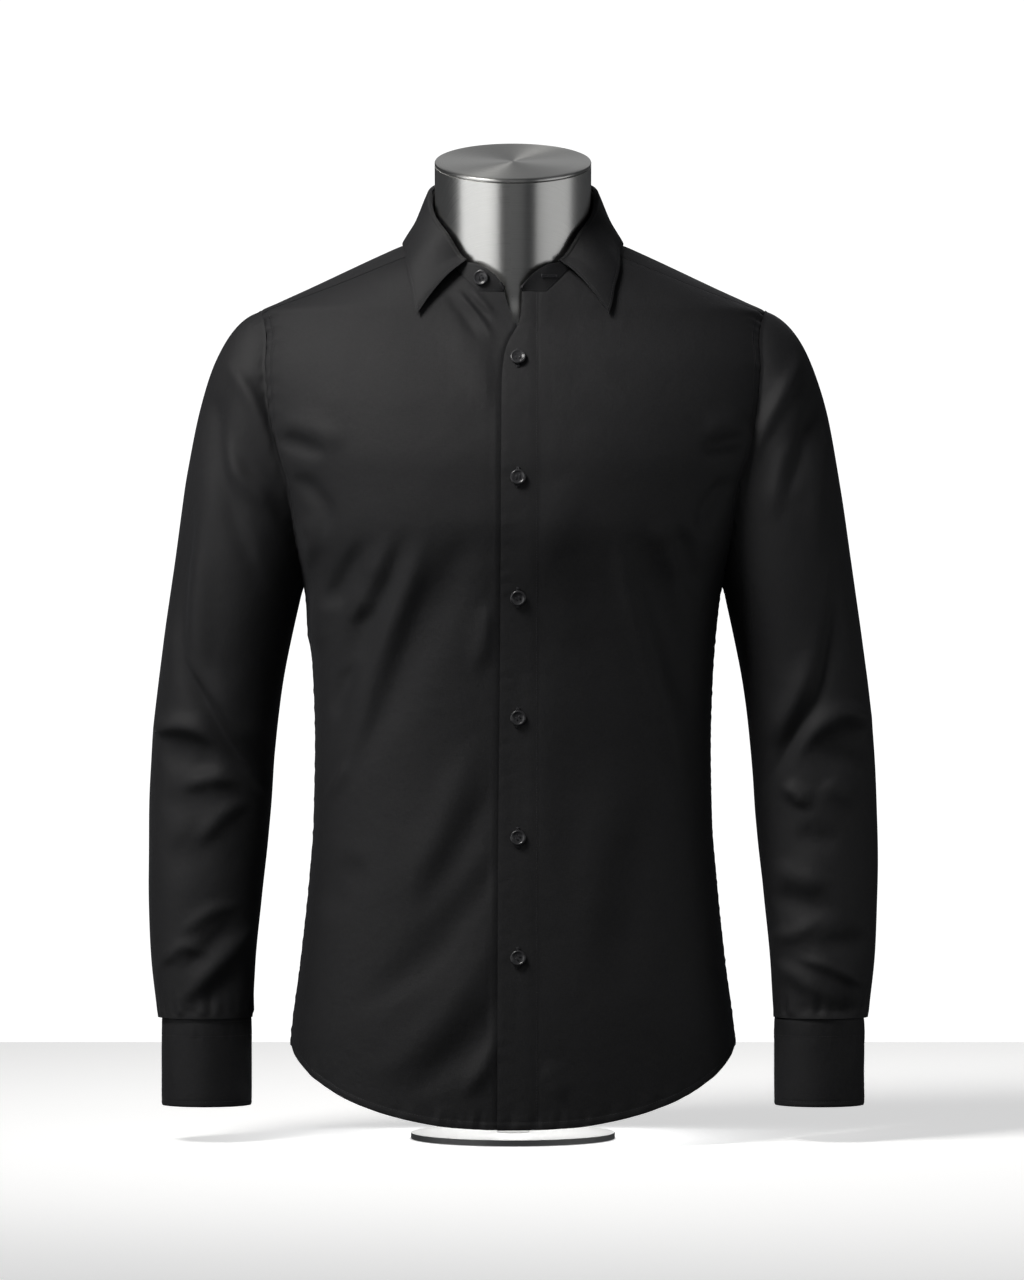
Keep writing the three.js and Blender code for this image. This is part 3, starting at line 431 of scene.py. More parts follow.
def side_edge(vs, seam_azimuth, side, end_turn):
    """The side seam up to the armpit, then the armhole's edge."""
    seam_z = mix(hem_z(np.array(seam_azimuth)), ARMPIT_Z, vs / SIDE_SEAM_SHARE)
    seam = np.stack([np.full(vs.shape, seam_azimuth), seam_z], axis=-1)
    share = np.clip((vs - SIDE_SEAM_SHARE) / (1 - SIDE_SEAM_SHARE), 0, 1)
    hole = armhole_edge(mix(math.copysign(math.pi, end_turn), end_turn, share), side)
    return np.where((vs < SIDE_SEAM_SHARE)[:, None], seam, hole)


def front_line(side, line, vs):
    def azimuth_of(z):
        return azimuth_at(side * line(z), z)

    low = solve(lambda z: hem_z(azimuth_of(z)) - z, np.array(0.0), -10, 60)
    z = mix(low, FRONT_NECKLINE_Z, vs)
    return np.stack([azimuth_of(z), z], axis=-1)


def graded(count, ends=0.5):
    """Shares from 0 to 1 that lie closer together at both ends."""
    t = np.linspace(0, 1, count + 1)
    return t - (1 - ends) / (2 * math.pi) * np.sin(2 * math.pi * t)


PANEL_ROWS = np.concatenate([
    graded(190, 0.5) * SIDE_SEAM_SHARE,
    mix(SIDE_SEAM_SHARE, 1, graded(110, 0.5))[1:],
])
STRIP_COLUMNS = np.linspace(0, 1, 15)
FRONT_COLUMNS = graded(84, 0.5)


def front_grid(side, edge_x):
    edge = front_line(side, edge_x, PANEL_ROWS)
    line = front_line(side, lambda z: np.full(np.shape(z), float(PLACKET_LINE)), PANEL_ROWS)
    corner_turn = armhole_turn(FRONT_YOKE_Z)
    us = FRONT_COLUMNS
    hem_azimuth = side * mix(abs(line[0, 0]), SIDE_SEAM, us)
    bottom = np.stack([hem_azimuth, hem_z(hem_azimuth)], axis=-1)
    neck_azimuth = mix(abs(line[-1, 0]), YOKE_NECK_AZIMUTH, np.clip(us / NECKLINE_SHARE, 0, 1))
    neck = np.stack([side * neck_azimuth, neckline_z(neck_azimuth)], axis=-1)
    neck_end = np.array([side * YOKE_NECK_AZIMUTH, neckline_z(YOKE_NECK_AZIMUTH)])
    corner = armhole_edge(np.array(corner_turn), side)
    share = np.clip((us - NECKLINE_SHARE) / (1 - NECKLINE_SHARE), 0, 1)[:, None]
    top = np.where((us < NECKLINE_SHARE)[:, None], neck, mix(neck_end, corner, share))
    right = side_edge(PANEL_ROWS, side * SIDE_SEAM, side, corner_turn)
    main = patch(bottom, top, line, right, us, PANEL_ROWS)
    strip = mix(edge[:, None], line[:, None], STRIP_COLUMNS[None, :, None])
    return np.concatenate([strip[:, :-1], main], axis=1)


def back_grid():
    corner_turn = -armhole_turn(BACK_YOKE_Z)
    us, vs = graded(130, 0.5), PANEL_ROWS
    azimuth = mix(SIDE_SEAM, 2 * math.pi - SIDE_SEAM, us)
    bottom = np.stack([azimuth, hem_z(azimuth)], axis=-1)
    left = side_edge(vs, SIDE_SEAM, 1, corner_turn)
    right = left * (-1, 1) + (2 * math.pi, 0)
    top = mix(left[-1], right[-1], us[:, None])
    return patch(bottom, top, left, right, us, vs)


def yoke_grid():
    arm_share = 0.14
    start_turn, corner_turn = armhole_turn(FRONT_YOKE_Z), -armhole_turn(BACK_YOKE_Z)
    near = np.concatenate([graded(22, 0.7) * arm_share, mix(arm_share, 0.5, np.linspace(0, 1, 56))[1:]])
    us = np.concatenate([near, 1 - near[-2::-1]])
    vs = graded(38, 0.6)
    folded = np.minimum(us, 1 - us)
    start, corner = (armhole_edge(np.array(t), 1) for t in (start_turn, corner_turn))
    hole = armhole_edge(mix(start_turn, corner_turn, np.clip(folded / arm_share, 0, 1)), 1)
    share = np.clip((folded - arm_share) / (0.5 - arm_share), 0, 1)[:, None]
    outer = np.where((folded < arm_share)[:, None], hole, mix(corner, np.array([math.pi, corner[1]]), share))
    azimuth = mix(YOKE_NECK_AZIMUTH, math.pi, folded * 2)
    inner = np.stack([azimuth, neckline_z(azimuth)], axis=-1)
    far = us > 0.5
    for edge in (outer, inner):
        edge[far, 0] = 2 * math.pi - edge[far, 0]
    seam = mix(inner[0], start, vs[:, None])
    return patch(inner, outer, seam, seam * (-1, 1) + (2 * math.pi, 0), us, vs)


# ---- cloth shaping on a grid of points ----

def grid_normals(points, ring=False):
    if ring:
        wrapped = np.concatenate([points[:, -2:-1], points, points[:, 1:2]], axis=1)
        along_u = (wrapped[:, 2:] - wrapped[:, :-2])
    else:
        along_u = np.gradient(points, axis=1)
    return unit(np.cross(along_u, np.gradient(points, axis=0)))


def run_lengths(points, axis):
    steps = np.linalg.norm(np.diff(points, axis=axis), axis=-1)
    zero = np.zeros_like(np.take(steps, [0], axis=axis))
    return np.concatenate([zero, np.cumsum(steps, axis=axis)], axis=axis)


def seam_relief(distance, along, rng, depth=0.7, stitch_at=None, pucker=0.3):
    """The height of cloth beside a seam: turned in at the edge, sunk under its stitches and puckered."""
    height = -depth * np.exp(-((distance / 1.5) ** 2))
    if stitch_at is not None:
        height -= 0.25 * np.exp(-(((distance - stitch_at) / 1.1) ** 2))
    wave = np.zeros_like(along)
    for _ in range(5):
        length = rng.uniform(6, 17)
        wave += np.sin(2 * math.pi * along / length + rng.uniform(0, 6.3))
    reach = 9 if stitch_at is None else 6 + stitch_at
    height += pucker * wave / 2.2 * np.exp(-((distance / reach) ** 2)) * np.minimum(distance / 1.5, 1)
    return height


def body_points(grid, extra=None):
    """A panel's outer face, with its folds, and its smooth normals."""
    azimuth, z = grid[..., 0], grid[..., 1]
    base = plain_body(azimuth, z)
    normal = body_normal(azimuth, z)
    x, y = base[..., 0], base[..., 1]
    clear_of_placket = np.where(x < 0, smoothstep(-x, 11, 22), 1)
    height = np.where(y < 0, fold_height(FRONT_FOLDS, x, z) * clear_of_placket, fold_height(BACK_FOLDS, x, z))
    girth = np.arctan2(x, -y) * BODY_GIRTH_RADIUS
    height += ripples(girth, z, SEED, 0.55, 120) * np.where((y < 0) & (np.abs(x) < 22), 0.4, 1)
    height = np.where(height < 0, -DEEPEST_FOLD * np.tanh(-height / DEEPEST_FOLD), height)
    if extra is not None:
        height = height + extra
    return base + normal * height[..., None], normal


# ---- meshes ----

def new_mesh(name, points, faces, uv=None, sharp=55):
    mesh = bpy.data.meshes.new(name)
    mesh.from_pydata((np.asarray(points) * MM).tolist(), [], [tuple(f) for f in faces])
    if uv is not None:
        layer = mesh.uv_layers.new(name="Cloth")
        index = np.empty(len(mesh.loops), int)
        mesh.loops.foreach_get("vertex_index", index)
        layer.data.foreach_set("uv", (np.asarray(uv, float)[index] * MM).ravel())
    mesh.polygons.foreach_set("use_smooth", np.ones(len(mesh.polygons), bool))
    if sharp:
        mesh.set_sharp_from_angle(angle=math.radians(sharp))
    piece = bpy.data.objects.new(name, mesh)
    bpy.context.scene.collection.objects.link(piece)
    return piece


def add_piece(piece, material, nodes=()):
    piece.data.materials.clear()
    piece.data.materials.append(material)
    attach(piece, "root")
    if nodes:
        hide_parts(*nodes)
    return piece


def wall_mesh(name, outer, inner, ring=False, flip=False):
    """A closed wall between two grids, wrapped round where its last column is its first."""
    rows, columns = outer.shape[:2]
    if ring:
        outer, inner, columns = outer[:, :-1], inner[:, :-1], columns - 1
    count = rows * columns
    index = np.arange(count).reshape(rows, columns)
    if ring:
        index = np.concatenate([index, index[:, :1]], axis=1)
    a, b, c, d = index[:-1, :-1], index[:-1, 1:], index[1:, 1:], index[1:, :-1]
    front = np.stack([a, b, c, d], axis=-1).reshape(-1, 4)
    back = np.stack([a, d, c, b], axis=-1).reshape(-1, 4) + count
    faces = [front, back]
    rims = [index[0], index[-1, ::-1]]
    if not ring:
        rims += [index[::-1, 0], index[:, -1]]
    for rim in rims:
        faces.append(np.stack([rim[:-1], rim[:-1] + count, rim[1:] + count, rim[1:]], axis=-1))
    faces = np.concatenate(faces)
    if flip:
        faces = faces[:, ::-1]
    points = np.concatenate([outer.reshape(-1, 3), inner.reshape(-1, 3)])
    wide = run_lengths(outer, 1)
    tall = run_lengths(outer, 0)
    middle = wide[:, columns // 2][:, None]
    uv = np.stack([wide - middle, tall], axis=-1).reshape(-1, 2)
    return new_mesh(name, points, faces.tolist(), np.concatenate([uv, uv]))


class Stitches:
    """Rows of stitches that lie on cloth, gathered into one mesh."""

    def __init__(self):
        self.points, self.faces, self.count = [], [], 0

    def row(self, path, normals, pitch=2.3, length=1.75, radius=0.17, lift=0.12):
        path, normals = np.asarray(path, float), np.asarray(normals, float)
        run = np.concatenate([[0], np.cumsum(np.linalg.norm(np.diff(path, axis=0), axis=1))])
        starts = np.arange(pitch * 0.3, run[-1] - length, pitch)
        if not len(starts):
            return
        rings = []
        for share, rise, size in ((0, -0.15, 0.5), (0.28, lift, 1.0), (0.72, lift, 1.0), (1, -0.15, 0.5)):
            at = starts + share * length
            centre = np.stack([np.interp(at, run, path[:, k]) for k in range(3)], axis=-1)
            normal = unit(np.stack([np.interp(at, run, normals[:, k]) for k in range(3)], axis=-1))
            ahead = np.stack([np.interp(at + 0.5, run, path[:, k]) for k in range(3)], axis=-1)
            across = unit(np.cross(normal, ahead - centre + 1e-6))
            for turn in range(4):
                angle = math.pi / 2 * turn + math.pi / 4
                offset = across * math.cos(angle) + normal * math.sin(angle)
                rings.append(centre + normal * rise + offset * radius * size)
        points = np.stack(rings, axis=1)
        base = self.count + 16 * np.arange(len(starts))[:, None]
        quads = [(0, 3, 2, 1), (12, 13, 14, 15)]
        for ring in range(3):
            for k in range(4):
                n = (k + 1) % 4
                quads.append((4 * ring + k, 4 * ring + n, 4 * ring + 4 + n, 4 * ring + 4 + k))
        for quad in quads:
            self.faces.append(base + np.array(quad))
        self.points.append(points.reshape(-1, 3))
        self.count += 16 * len(starts)

    def finish(self, name, material):
        faces = np.concatenate(self.faces).tolist()
        piece = new_mesh(name, np.concatenate(self.points), faces, sharp=None)
        return add_piece(piece, material)


# ---- materials ----

def node_material(name, **settings):
    material = bpy.data.materials.new(name)
    material.use_nodes = True
    tree = material.node_tree
    shader = next(n for n in tree.nodes if n.type == "BSDF_PRINCIPLED")
    for key, value in settings.items():
        shader.inputs[key.replace("_", " ")].default_value = value
    return material, tree, shader


def add_node(tree, kind, inputs=None, **settings):
    node = tree.nodes.new(kind)
    for key, value in settings.items():
        setattr(node, key, value)
    for key, value in (inputs or {}).items():
        if isinstance(value, bpy.types.NodeSocket):
            tree.links.new(value, node.inputs[key])
        else:
            node.inputs[key].default_value = value
    return node


def math_node(tree, operation, a, b=0.0):
    return add_node(tree, "ShaderNodeMath", {0: a, 1: b}, operation=operation).outputs[0]


def poplin_material():
    """Fine black cotton: a close plain weave, uneven yarns and a faint sheen."""
    material, tree, shader = node_material(
        "black_poplin", Roughness=0.7, Sheen_Weight=0.06, Sheen_Roughness=0.4,
        Sheen_Tint=(0.9, 0.92, 1.0, 1), Specular_IOR_Level=0.3,
    )
    uv = add_node(tree, "ShaderNodeUVMap", uv_map="Cloth").outputs[0]
    split = add_node(tree, "ShaderNodeSeparateXYZ", {0: uv})
    yarn = 2 * math.pi / (0.42 * MM)
    warp = math_node(tree, "SINE", math_node(tree, "MULTIPLY", split.outputs[0], yarn))
    weft = math_node(tree, "SINE", math_node(tree, "MULTIPLY", split.outputs[1], yarn))
    weave = math_node(tree, "MULTIPLY", warp, weft)
    slub = add_node(tree, "ShaderNodeMapping", {"Vector": uv, "Scale": (1100, 260, 1)}).outputs[0]
    yarns = add_node(tree, "ShaderNodeTexNoise", {"Vector": slub, "Scale": 1.0, "Detail": 2.0}).outputs[0]
    cross = add_node(tree, "ShaderNodeMapping", {"Vector": uv, "Scale": (240, 1000, 1)}).outputs[0]
    picks = add_node(tree, "ShaderNodeTexNoise", {"Vector": cross, "Scale": 1.0, "Detail": 2.0}).outputs[0]
    grain = math_node(tree, "ADD", yarns, picks)
    height = math_node(tree, "ADD", math_node(tree, "MULTIPLY", weave, 0.25), grain)
    place = add_node(tree, "ShaderNodeTexCoord").outputs["Object"]
    crumple = add_node(
        tree, "ShaderNodeTexNoise", {"Vector": place, "Scale": 42.0, "Detail": 3.0, "Roughness": 0.55}
    ).outputs[0]
    relief = {"Height": height, "Strength": 0.5, "Distance": 0.00015}
    fine = add_node(tree, "ShaderNodeBump", relief).outputs[0]
    bump = add_node(
        tree, "ShaderNodeBump", {"Height": crumple, "Strength": 0.22, "Distance": 0.0035, "Normal": fine}
    ).outputs[0]
    tree.links.new(bump, shader.inputs["Normal"])
    cloud = add_node(tree, "ShaderNodeTexNoise", {"Vector": place, "Scale": 9.0, "Detail": 4.0}).outputs[0]
    mottle, fleck = math_node(tree, "MULTIPLY", cloud, 0.35), math_node(tree, "MULTIPLY", grain, 0.5)
    blend = math_node(tree, "ADD", mottle, fleck)
    tone = add_node(tree, "ShaderNodeValToRGB", {0: blend})
    tone.color_ramp.elements[0].position = 0.45
    tone.color_ramp.elements[1].position = 0.9
    tone.color_ramp.elements[0].color = (0.0075, 0.0075, 0.0085, 1)
    tone.color_ramp.elements[1].color = (0.0148, 0.0148, 0.0165, 1)
    tree.links.new(tone.outputs[0], shader.inputs["Base Color"])
    gloss = add_node(tree, "ShaderNodeMapRange", {"Value": cloud, "To Min": 0.6, "To Max": 0.7}).outputs[0]
    tree.links.new(gloss, shader.inputs["Roughness"])
    return material


def brushed_material(name, across):
    """Steel with fine brushed lines that run round; across is how closely they lie."""
    material, tree, shader = node_material(
        name, Metallic=1.0, Base_Color=(0.66, 0.66, 0.645, 1), Roughness=0.3, Anisotropic=0.75,
        Anisotropic_Rotation=0.25,
    )
    uv = add_node(tree, "ShaderNodeUVMap", uv_map="Cloth").outputs[0]
    lines = add_node(tree, "ShaderNodeMapping", {"Vector": uv, "Scale": across}).outputs[0]
    brush = add_node(tree, "ShaderNodeTexNoise", {"Vector": lines, "Scale": 1.0, "Detail": 5.0}).outputs[0]
    relief = {"Height": brush, "Strength": 0.25, "Distance": 0.00006}
    bump = add_node(tree, "ShaderNodeBump", relief).outputs[0]
    tree.links.new(bump, shader.inputs["Normal"])
    rough = add_node(tree, "ShaderNodeMapRange", {"Value": brush, "To Min": 0.2, "To Max": 0.42}).outputs[0]
    tree.links.new(rough, shader.inputs["Roughness"])
    tone = add_node(tree, "ShaderNodeValToRGB", {0: brush})
    tone.color_ramp.elements[0].color = (0.52, 0.52, 0.505, 1)
    tone.color_ramp.elements[1].color = (0.74, 0.74, 0.725, 1)
    tree.links.new(tone.outputs[0], shader.inputs["Base Color"])
    tangent = add_node(tree, "ShaderNodeTangent", direction_type="UV_MAP", uv_map="Cloth").outputs[0]
    tree.links.new(tangent, shader.inputs["Tangent"])
    return material


def grained_material(name, colour, roughness, grain=0.02, scale=900, distance=0.0001):
    material, tree, shader = node_material(name, Base_Color=(*colour, 1), Roughness=roughness)
    place = add_node(tree, "ShaderNodeTexCoord").outputs["Object"]
    noise = add_node(tree, "ShaderNodeTexNoise", {"Vector": place, "Scale": scale, "Detail": 3.0}).outputs[0]
    relief = {"Height": noise, "Strength": 0.2, "Distance": distance}
    bump = add_node(tree, "ShaderNodeBump", relief).outputs[0]
    tree.links.new(bump, shader.inputs["Normal"])
    cloud = add_node(tree, "ShaderNodeTexNoise", {"Vector": place, "Scale": 14.0, "Detail": 3.0}).outputs[0]
    gloss = add_node(
        tree, "ShaderNodeMapRange",
        {"Value": cloud, "To Min": roughness - grain * 2, "To Max": roughness + grain * 2},
    ).outputs[0]
    tree.links.new(gloss, shader.inputs["Roughness"])
    tone = add_node(tree, "ShaderNodeValToRGB", {0: cloud})
    tone.color_ramp.elements[0].color = (*(c * (1 - grain * 3) for c in colour), 1)
    tone.color_ramp.elements[1].color = (*(min(1, c * (1 + grain * 3)) for c in colour), 1)
    tree.links.new(tone.outputs[0], shader.inputs["Base Color"])
    return material


POPLIN = poplin_material()
THREAD = grained_material("black_thread", (0.02, 0.02, 0.024), 0.45, scale=2500)
BUTTON = grained_material("dark_button", (0.036, 0.036, 0.039), 0.28, grain=0.03, scale=700)
STEEL_SIDE = brushed_material("brushed_steel", (4, 4200, 1))
STEEL_CAP = brushed_material("turned_steel", (3, 3600, 1))
FORM_SHELL = grained_material("form_shell", (0.3, 0.3, 0.29), 0.7)
LACQUER = grained_material("white_lacquer", (0.82, 0.82, 0.81), 0.35)


# ---- pieces of cloth ----

def edge_distances(points):
    """How far each point of a grid is from its first and last column and its first and last row."""
    across, up = run_lengths(points, 1), run_lengths(points, 0)
    return across, across[:, -1:] - across, up, up[-1:] - up


def hem_relief(distance, along, rng, band=HEM_BAND, depth=0.35):
    """A turned-up hem: a thicker band that ends in a sunk row of stitches."""
    height = depth * (1 - smoothstep(distance, band - 0.4, band + 1.0))
    height = height - 0.3 * np.exp(-(((distance - band) / 0.9) ** 2))
    wave = sum(np.sin(2 * math.pi * along / rng.uniform(9, 26) + rng.uniform(0, 6.3)) for _ in range(4))
    height += 0.22 * wave * np.exp(-(((distance - band) / 7) ** 2))
    return height - 0.3 * np.exp(-((distance / 0.8) ** 2))


def cloth_wall(name, outer, thickness, sign=1, ring=False):
    normals = grid_normals(outer, ring=ring) * sign
    return wall_mesh(name, outer, outer - normals * thickness, ring=ring, flip=sign < 0), normals


def cut_size(outer):
    """The width, length and area that a grid of cloth has when it is laid flat, in metres."""
    corners = outer[:-1, :-1], outer[:-1, 1:], outer[1:, 1:], outer[1:, :-1]
    area = sum(
        np.linalg.norm(np.cross(b - a, c - a), axis=-1).sum() / 2
        for a, b, c in (corners[:3], (corners[0], corners[2], corners[3]))
    )
    width, length = run_lengths(outer, 1)[:, -1].max(), run_lengths(outer, 0)[-1].max()
    return width * MM, length * MM, min(area * MM * MM, width * length * MM * MM)


def add_cloth(piece, outer, node):
    add_piece(piece, POPLIN, [node])
    width, length, area = cut_size(outer)
    area = max(area, 0.301 * width * length)
    return piece


def row_line(points, normals, distance, value, rows=slice(None)):
    """The line across a grid's rows at a set distance from one of its side edges."""
    line, facing = [], []
    for p, n, d in zip(points[rows], normals[rows], distance[rows]):
        order = np.argsort(d)
        line.append([np.interp(value, d[order], p[order, k]) for k in range(3)])
        facing.append([np.interp(value, d[order], n[order, k]) for k in range(3)])
    return np.array(line), np.array(facing)


def column_line(points, normals, distance, value, columns=slice(None)):
    """The line across a grid's columns at a set distance from its top or bottom edge."""
    turn = (1, 0, 2)
    return row_line(points.transpose(turn), normals.transpose(turn), distance.T, value, columns)


BODY_STITCHES = Stitches()
SLEEVE_STITCHES = Stitches()
COLLAR_STITCHES = Stitches()
ARM_ROWS = PANEL_ROWS > SIDE_SEAM_SHARE


def arm_share(vs):
    return smoothstep(vs, SIDE_SEAM_SHARE - 0.012, SIDE_SEAM_SHARE + 0.012)[:, None]


def front_relief(base, rng):
    _, far, low, high = edge_distances(base)
    up = run_lengths(base, 0)
    arm = arm_share(PANEL_ROWS)
    relief = arm * seam_relief(far, up, rng, depth=0.5, stitch_at=ARMHOLE_STITCHES[0], pucker=0.55)
    relief += (1 - arm) * seam_relief(far, up, rng, depth=0.6, pucker=0.25)
    relief += hem_relief(low, base[..., 0], rng)
    relief -= 0.3 * np.exp(-((high / 1.2) ** 2))
    return relief, far, low


def front_left():
    rng = np.random.default_rng(SEED + 1)
    grid = front_grid(1, top_edge_x)
    base = plain_body(grid[..., 0], grid[..., 1])
    relief, far, low = front_relief(base, rng)
    outer, _ = body_points(grid, relief)
    piece, normals = cloth_wall("front_left_cloth", outer, CLOTH)
    add_cloth(piece, outer, "front_left")
    for distance in ARMHOLE_STITCHES:
        BODY_STITCHES.row(*row_line(outer, normals, far, distance, ARM_ROWS))
    BODY_STITCHES.row(*column_line(outer, normals, low, HEM_BAND, slice(15, None)))
    return outer, normals


def front_right():
    rng = np.random.default_rng(SEED + 2)
    grid = front_grid(-1, under_edge_x)
    base = plain_body(grid[..., 0], grid[..., 1])
    relief, far, low = front_relief(base, rng)
    cover = top_edge_x(base[..., 2])
    relief -= UNDERLAP_DEPTH * smoothstep(base[..., 0] - cover, -2.6, 0.4)
    outer, _ = body_points(grid, relief)
    piece, normals = cloth_wall("front_right_cloth", outer, CLOTH, sign=-1)
    add_cloth(piece, outer, "front_right")
    for distance in ARMHOLE_STITCHES:
        BODY_STITCHES.row(*row_line(outer, normals, far, distance, ARM_ROWS))
    BODY_STITCHES.row(*column_line(outer, normals, low, HEM_BAND, slice(20, None)))


def placket(front_outer, front_normals):
    """The strip over the top front's edge, made from that front's own points."""
    columns = len(STRIP_COLUMNS)
    rng = np.random.default_rng(SEED + 3)
    outer = front_outer[:, :columns] + front_normals[:, :columns] * (SEAM_LAP + PLACKET_CLOTH)
    near, far, low, _ = edge_distances(outer)
    up = run_lengths(outer, 0)
    relief = seam_relief(near, up, rng, depth=0.2, pucker=0.14)
    relief -= 0.5 * np.exp(-((far / 5) ** 2))
    relief -= 0.2 * np.exp(-((low / 0.8) ** 2))
    outer = outer + front_normals[:, :columns] * relief[..., None]
    piece, normals = cloth_wall("placket_cloth", outer, PLACKET_CLOTH)
    add_cloth(piece, outer, "placket")
    BODY_STITCHES.row(*row_line(outer, normals, far, 1.6))
    return outer, normals


def back():
    rng = np.random.default_rng(SEED + 4)
    grid = back_grid()
    base = plain_body(grid[..., 0], grid[..., 1])
    near, far, low, high = edge_distances(base)
    up = run_lengths(base, 0)
    arm = arm_share(PANEL_ROWS)
    relief = hem_relief(low, base[..., 0], rng)
    for distance in (near, far):
        relief += arm * seam_relief(distance, up, rng, depth=0.5, stitch_at=ARMHOLE_STITCHES[0], pucker=0.5)
        relief += (1 - arm) * seam_relief(distance, up, rng, depth=0.6, pucker=0.25)
    relief += seam_relief(high, near, rng, depth=0.6, pucker=0.3)
    outer, _ = body_points(grid, relief)
    piece, normals = cloth_wall("back_cloth", outer, CLOTH)
    add_cloth(piece, outer, "back")
    for distance in (near, far):
        BODY_STITCHES.row(*row_line(outer, normals, distance, ARMHOLE_STITCHES[0], ARM_ROWS))
    BODY_STITCHES.row(*column_line(outer, normals, low, HEM_BAND))


def yoke():
    rng = np.random.default_rng(SEED + 5)
    grid = yoke_grid()
    base = plain_body(grid[..., 0], grid[..., 1])
    low, high = edge_distances(base)[2:]
    across = run_lengths(base, 1)
    relief = seam_relief(high, across, rng, depth=0.3, stitch_at=2, pucker=0.22)
    relief -= 0.3 * np.exp(-((low / 1.2) ** 2))
    outer, _ = body_points(grid, relief)
    piece, normals = cloth_wall("yoke_cloth", outer, CLOTH, sign=-1)
    facing = np.sum(normals * body_normal(grid[..., 0], grid[..., 1]), axis=-1).mean()
    if facing < 0:
        raise ValueError("the yoke faces inwards")
    add_cloth(piece, outer, "yoke")
    BODY_STITCHES.row(*column_line(outer, normals, high, 2))


# ---- collar ----

stand_top_z = profile([
    (math.radians(a), z) for a, z in (
        (5.9, 704.5), (9, 710), (15, 717.5), (27, 725), (34, 726.5), (54, 750), (70, 763), (82, 773),
        (100, 788), (120, 794), (180, 798),
    )
])
leaf_edge_z = profile([
    (math.radians(a), z) for a, z in (
        (48, 682), (55, 706), (65, 726), (76, 738), (90, 744.5), (115, 748), (180, 751),
    )
])


def stand_top(azimuth):
    z = stand_top_z(np.where(azimuth < math.pi, azimuth, 2 * math.pi - azimuth))
    centre_y = np.minimum(0, (NECK_CENTRE_Z - z) * math.tan(NECK_LEAN))
    return stack(STAND_TOP_HALF_WIDTH * np.sin(azimuth), centre_y - STAND_TOP_HALF_DEPTH * np.cos(azimuth), z)


def outwards(azimuth):
    return stack(np.sin(azimuth), -np.cos(azimuth), 0)


def stand_points(azimuth, v):
    """The middle of the stand's cloth at azimuths and shares of its height."""
    seam_z = neckline_z(azimuth)
    seam_radius = np.minimum(NECKLINE_RADIUS, body_radius(azimuth, seam_z))
    base = outwards(azimuth) * (seam_radius - COLLAR_CLOTH / 2 + 0.3)[..., None]
    base[..., 2] = seam_z - 0.5
    return mix(base, stand_top(azimuth), v[..., None])


def leaf_points(share, v):
    """The middle of the leaf's cloth: it rolls over the stand's top and falls to the shoulders."""
    near = 1 - np.abs(2 * share - 1)
    roll_azimuth = mix(LEAF_ROLL_AZIMUTH, math.pi, near)
    edge_azimuth = mix(LEAF_POINT_AZIMUTH, math.pi, near)
    out = outwards(roll_azimuth)
    top = stand_top(roll_azimuth)
    along = stand_top(roll_azimuth + 0.01) - stand_top(roll_azimuth - 0.01)
    up = unit(np.cross(out, along))

    def turned(angle):
        angle = np.asarray(angle)[..., None]
        return top + out * ROLL_RADIUS * (1 + np.cos(angle)) + up * ROLL_RADIUS * np.sin(angle)

    rolled = turned(mix(math.radians(138), math.radians(8), np.clip(v / ROLL_SHARE, 0, 1)))
    start = turned(np.full(v.shape, math.radians(8)))
    edge_z = leaf_edge_z(edge_azimuth)
    lift = mix(3.6, 2.0, smoothstep(near, 0, 0.3))[..., None]
    end = plain_body(edge_azimuth, edge_z) + body_normal(edge_azimuth, edge_z) * lift
    bend = mix(start, end, 0.45) + out * 3.8
    bend[..., 2] += mix(7, 2, smoothstep(near, 0, 0.25))
    t = np.clip((v - ROLL_SHARE) / (1 - ROLL_SHARE), 0, 1)[..., None]
    fall = start * (1 - t) ** 2 + bend * 2 * t * (1 - t) + end * t ** 2
    points = np.where(v[..., None] < ROLL_SHARE, rolled, fall)
    points[..., 0] *= np.where(share > 0.5, -1, 1)
    return points


def collar_stand():
    u, v = np.meshgrid(graded(170, 0.6), graded(16, 0.6))
    azimuth = mix(STAND_FRONT_AZIMUTH, 2 * math.pi - STAND_FRONT_AZIMUTH, u)
    middle = stand_points(azimuth, v)
    normals = grid_normals(middle)
    near, far, low, high = edge_distances(middle)
    edge = np.minimum(np.minimum(near, far), high)
    relief = -0.4 * np.exp(-((edge / 0.9) ** 2)) - 0.2 * np.exp(-(((edge - 2.2) / 0.7) ** 2))
    relief += ripples(azimuth * 72, middle[..., 2], SEED + 60, 0.25, 40)
    outer = middle + normals * (COLLAR_CLOTH / 2 + relief)[..., None]
    piece, normals = cloth_wall("collar_stand_cloth", outer, COLLAR_CLOTH)
    add_cloth(piece, outer, "collar_stand")
    COLLAR_STITCHES.row(*column_line(outer, normals, low, 1.8))
    COLLAR_STITCHES.row(*column_line(outer, normals, high, 2.2))
    row, column = np.argmin(np.abs(v[:, 0] - 0.5)), np.argmin(np.abs(azimuth[0] - COLLAR_HOLE_AZIMUTH))
    seat = facing_matrix(outer[row, column], normals[row, column], math.pi / 2)
    HOLES.extend((placed(p, seat), f) for p, f in buttonhole_parts(length=13))


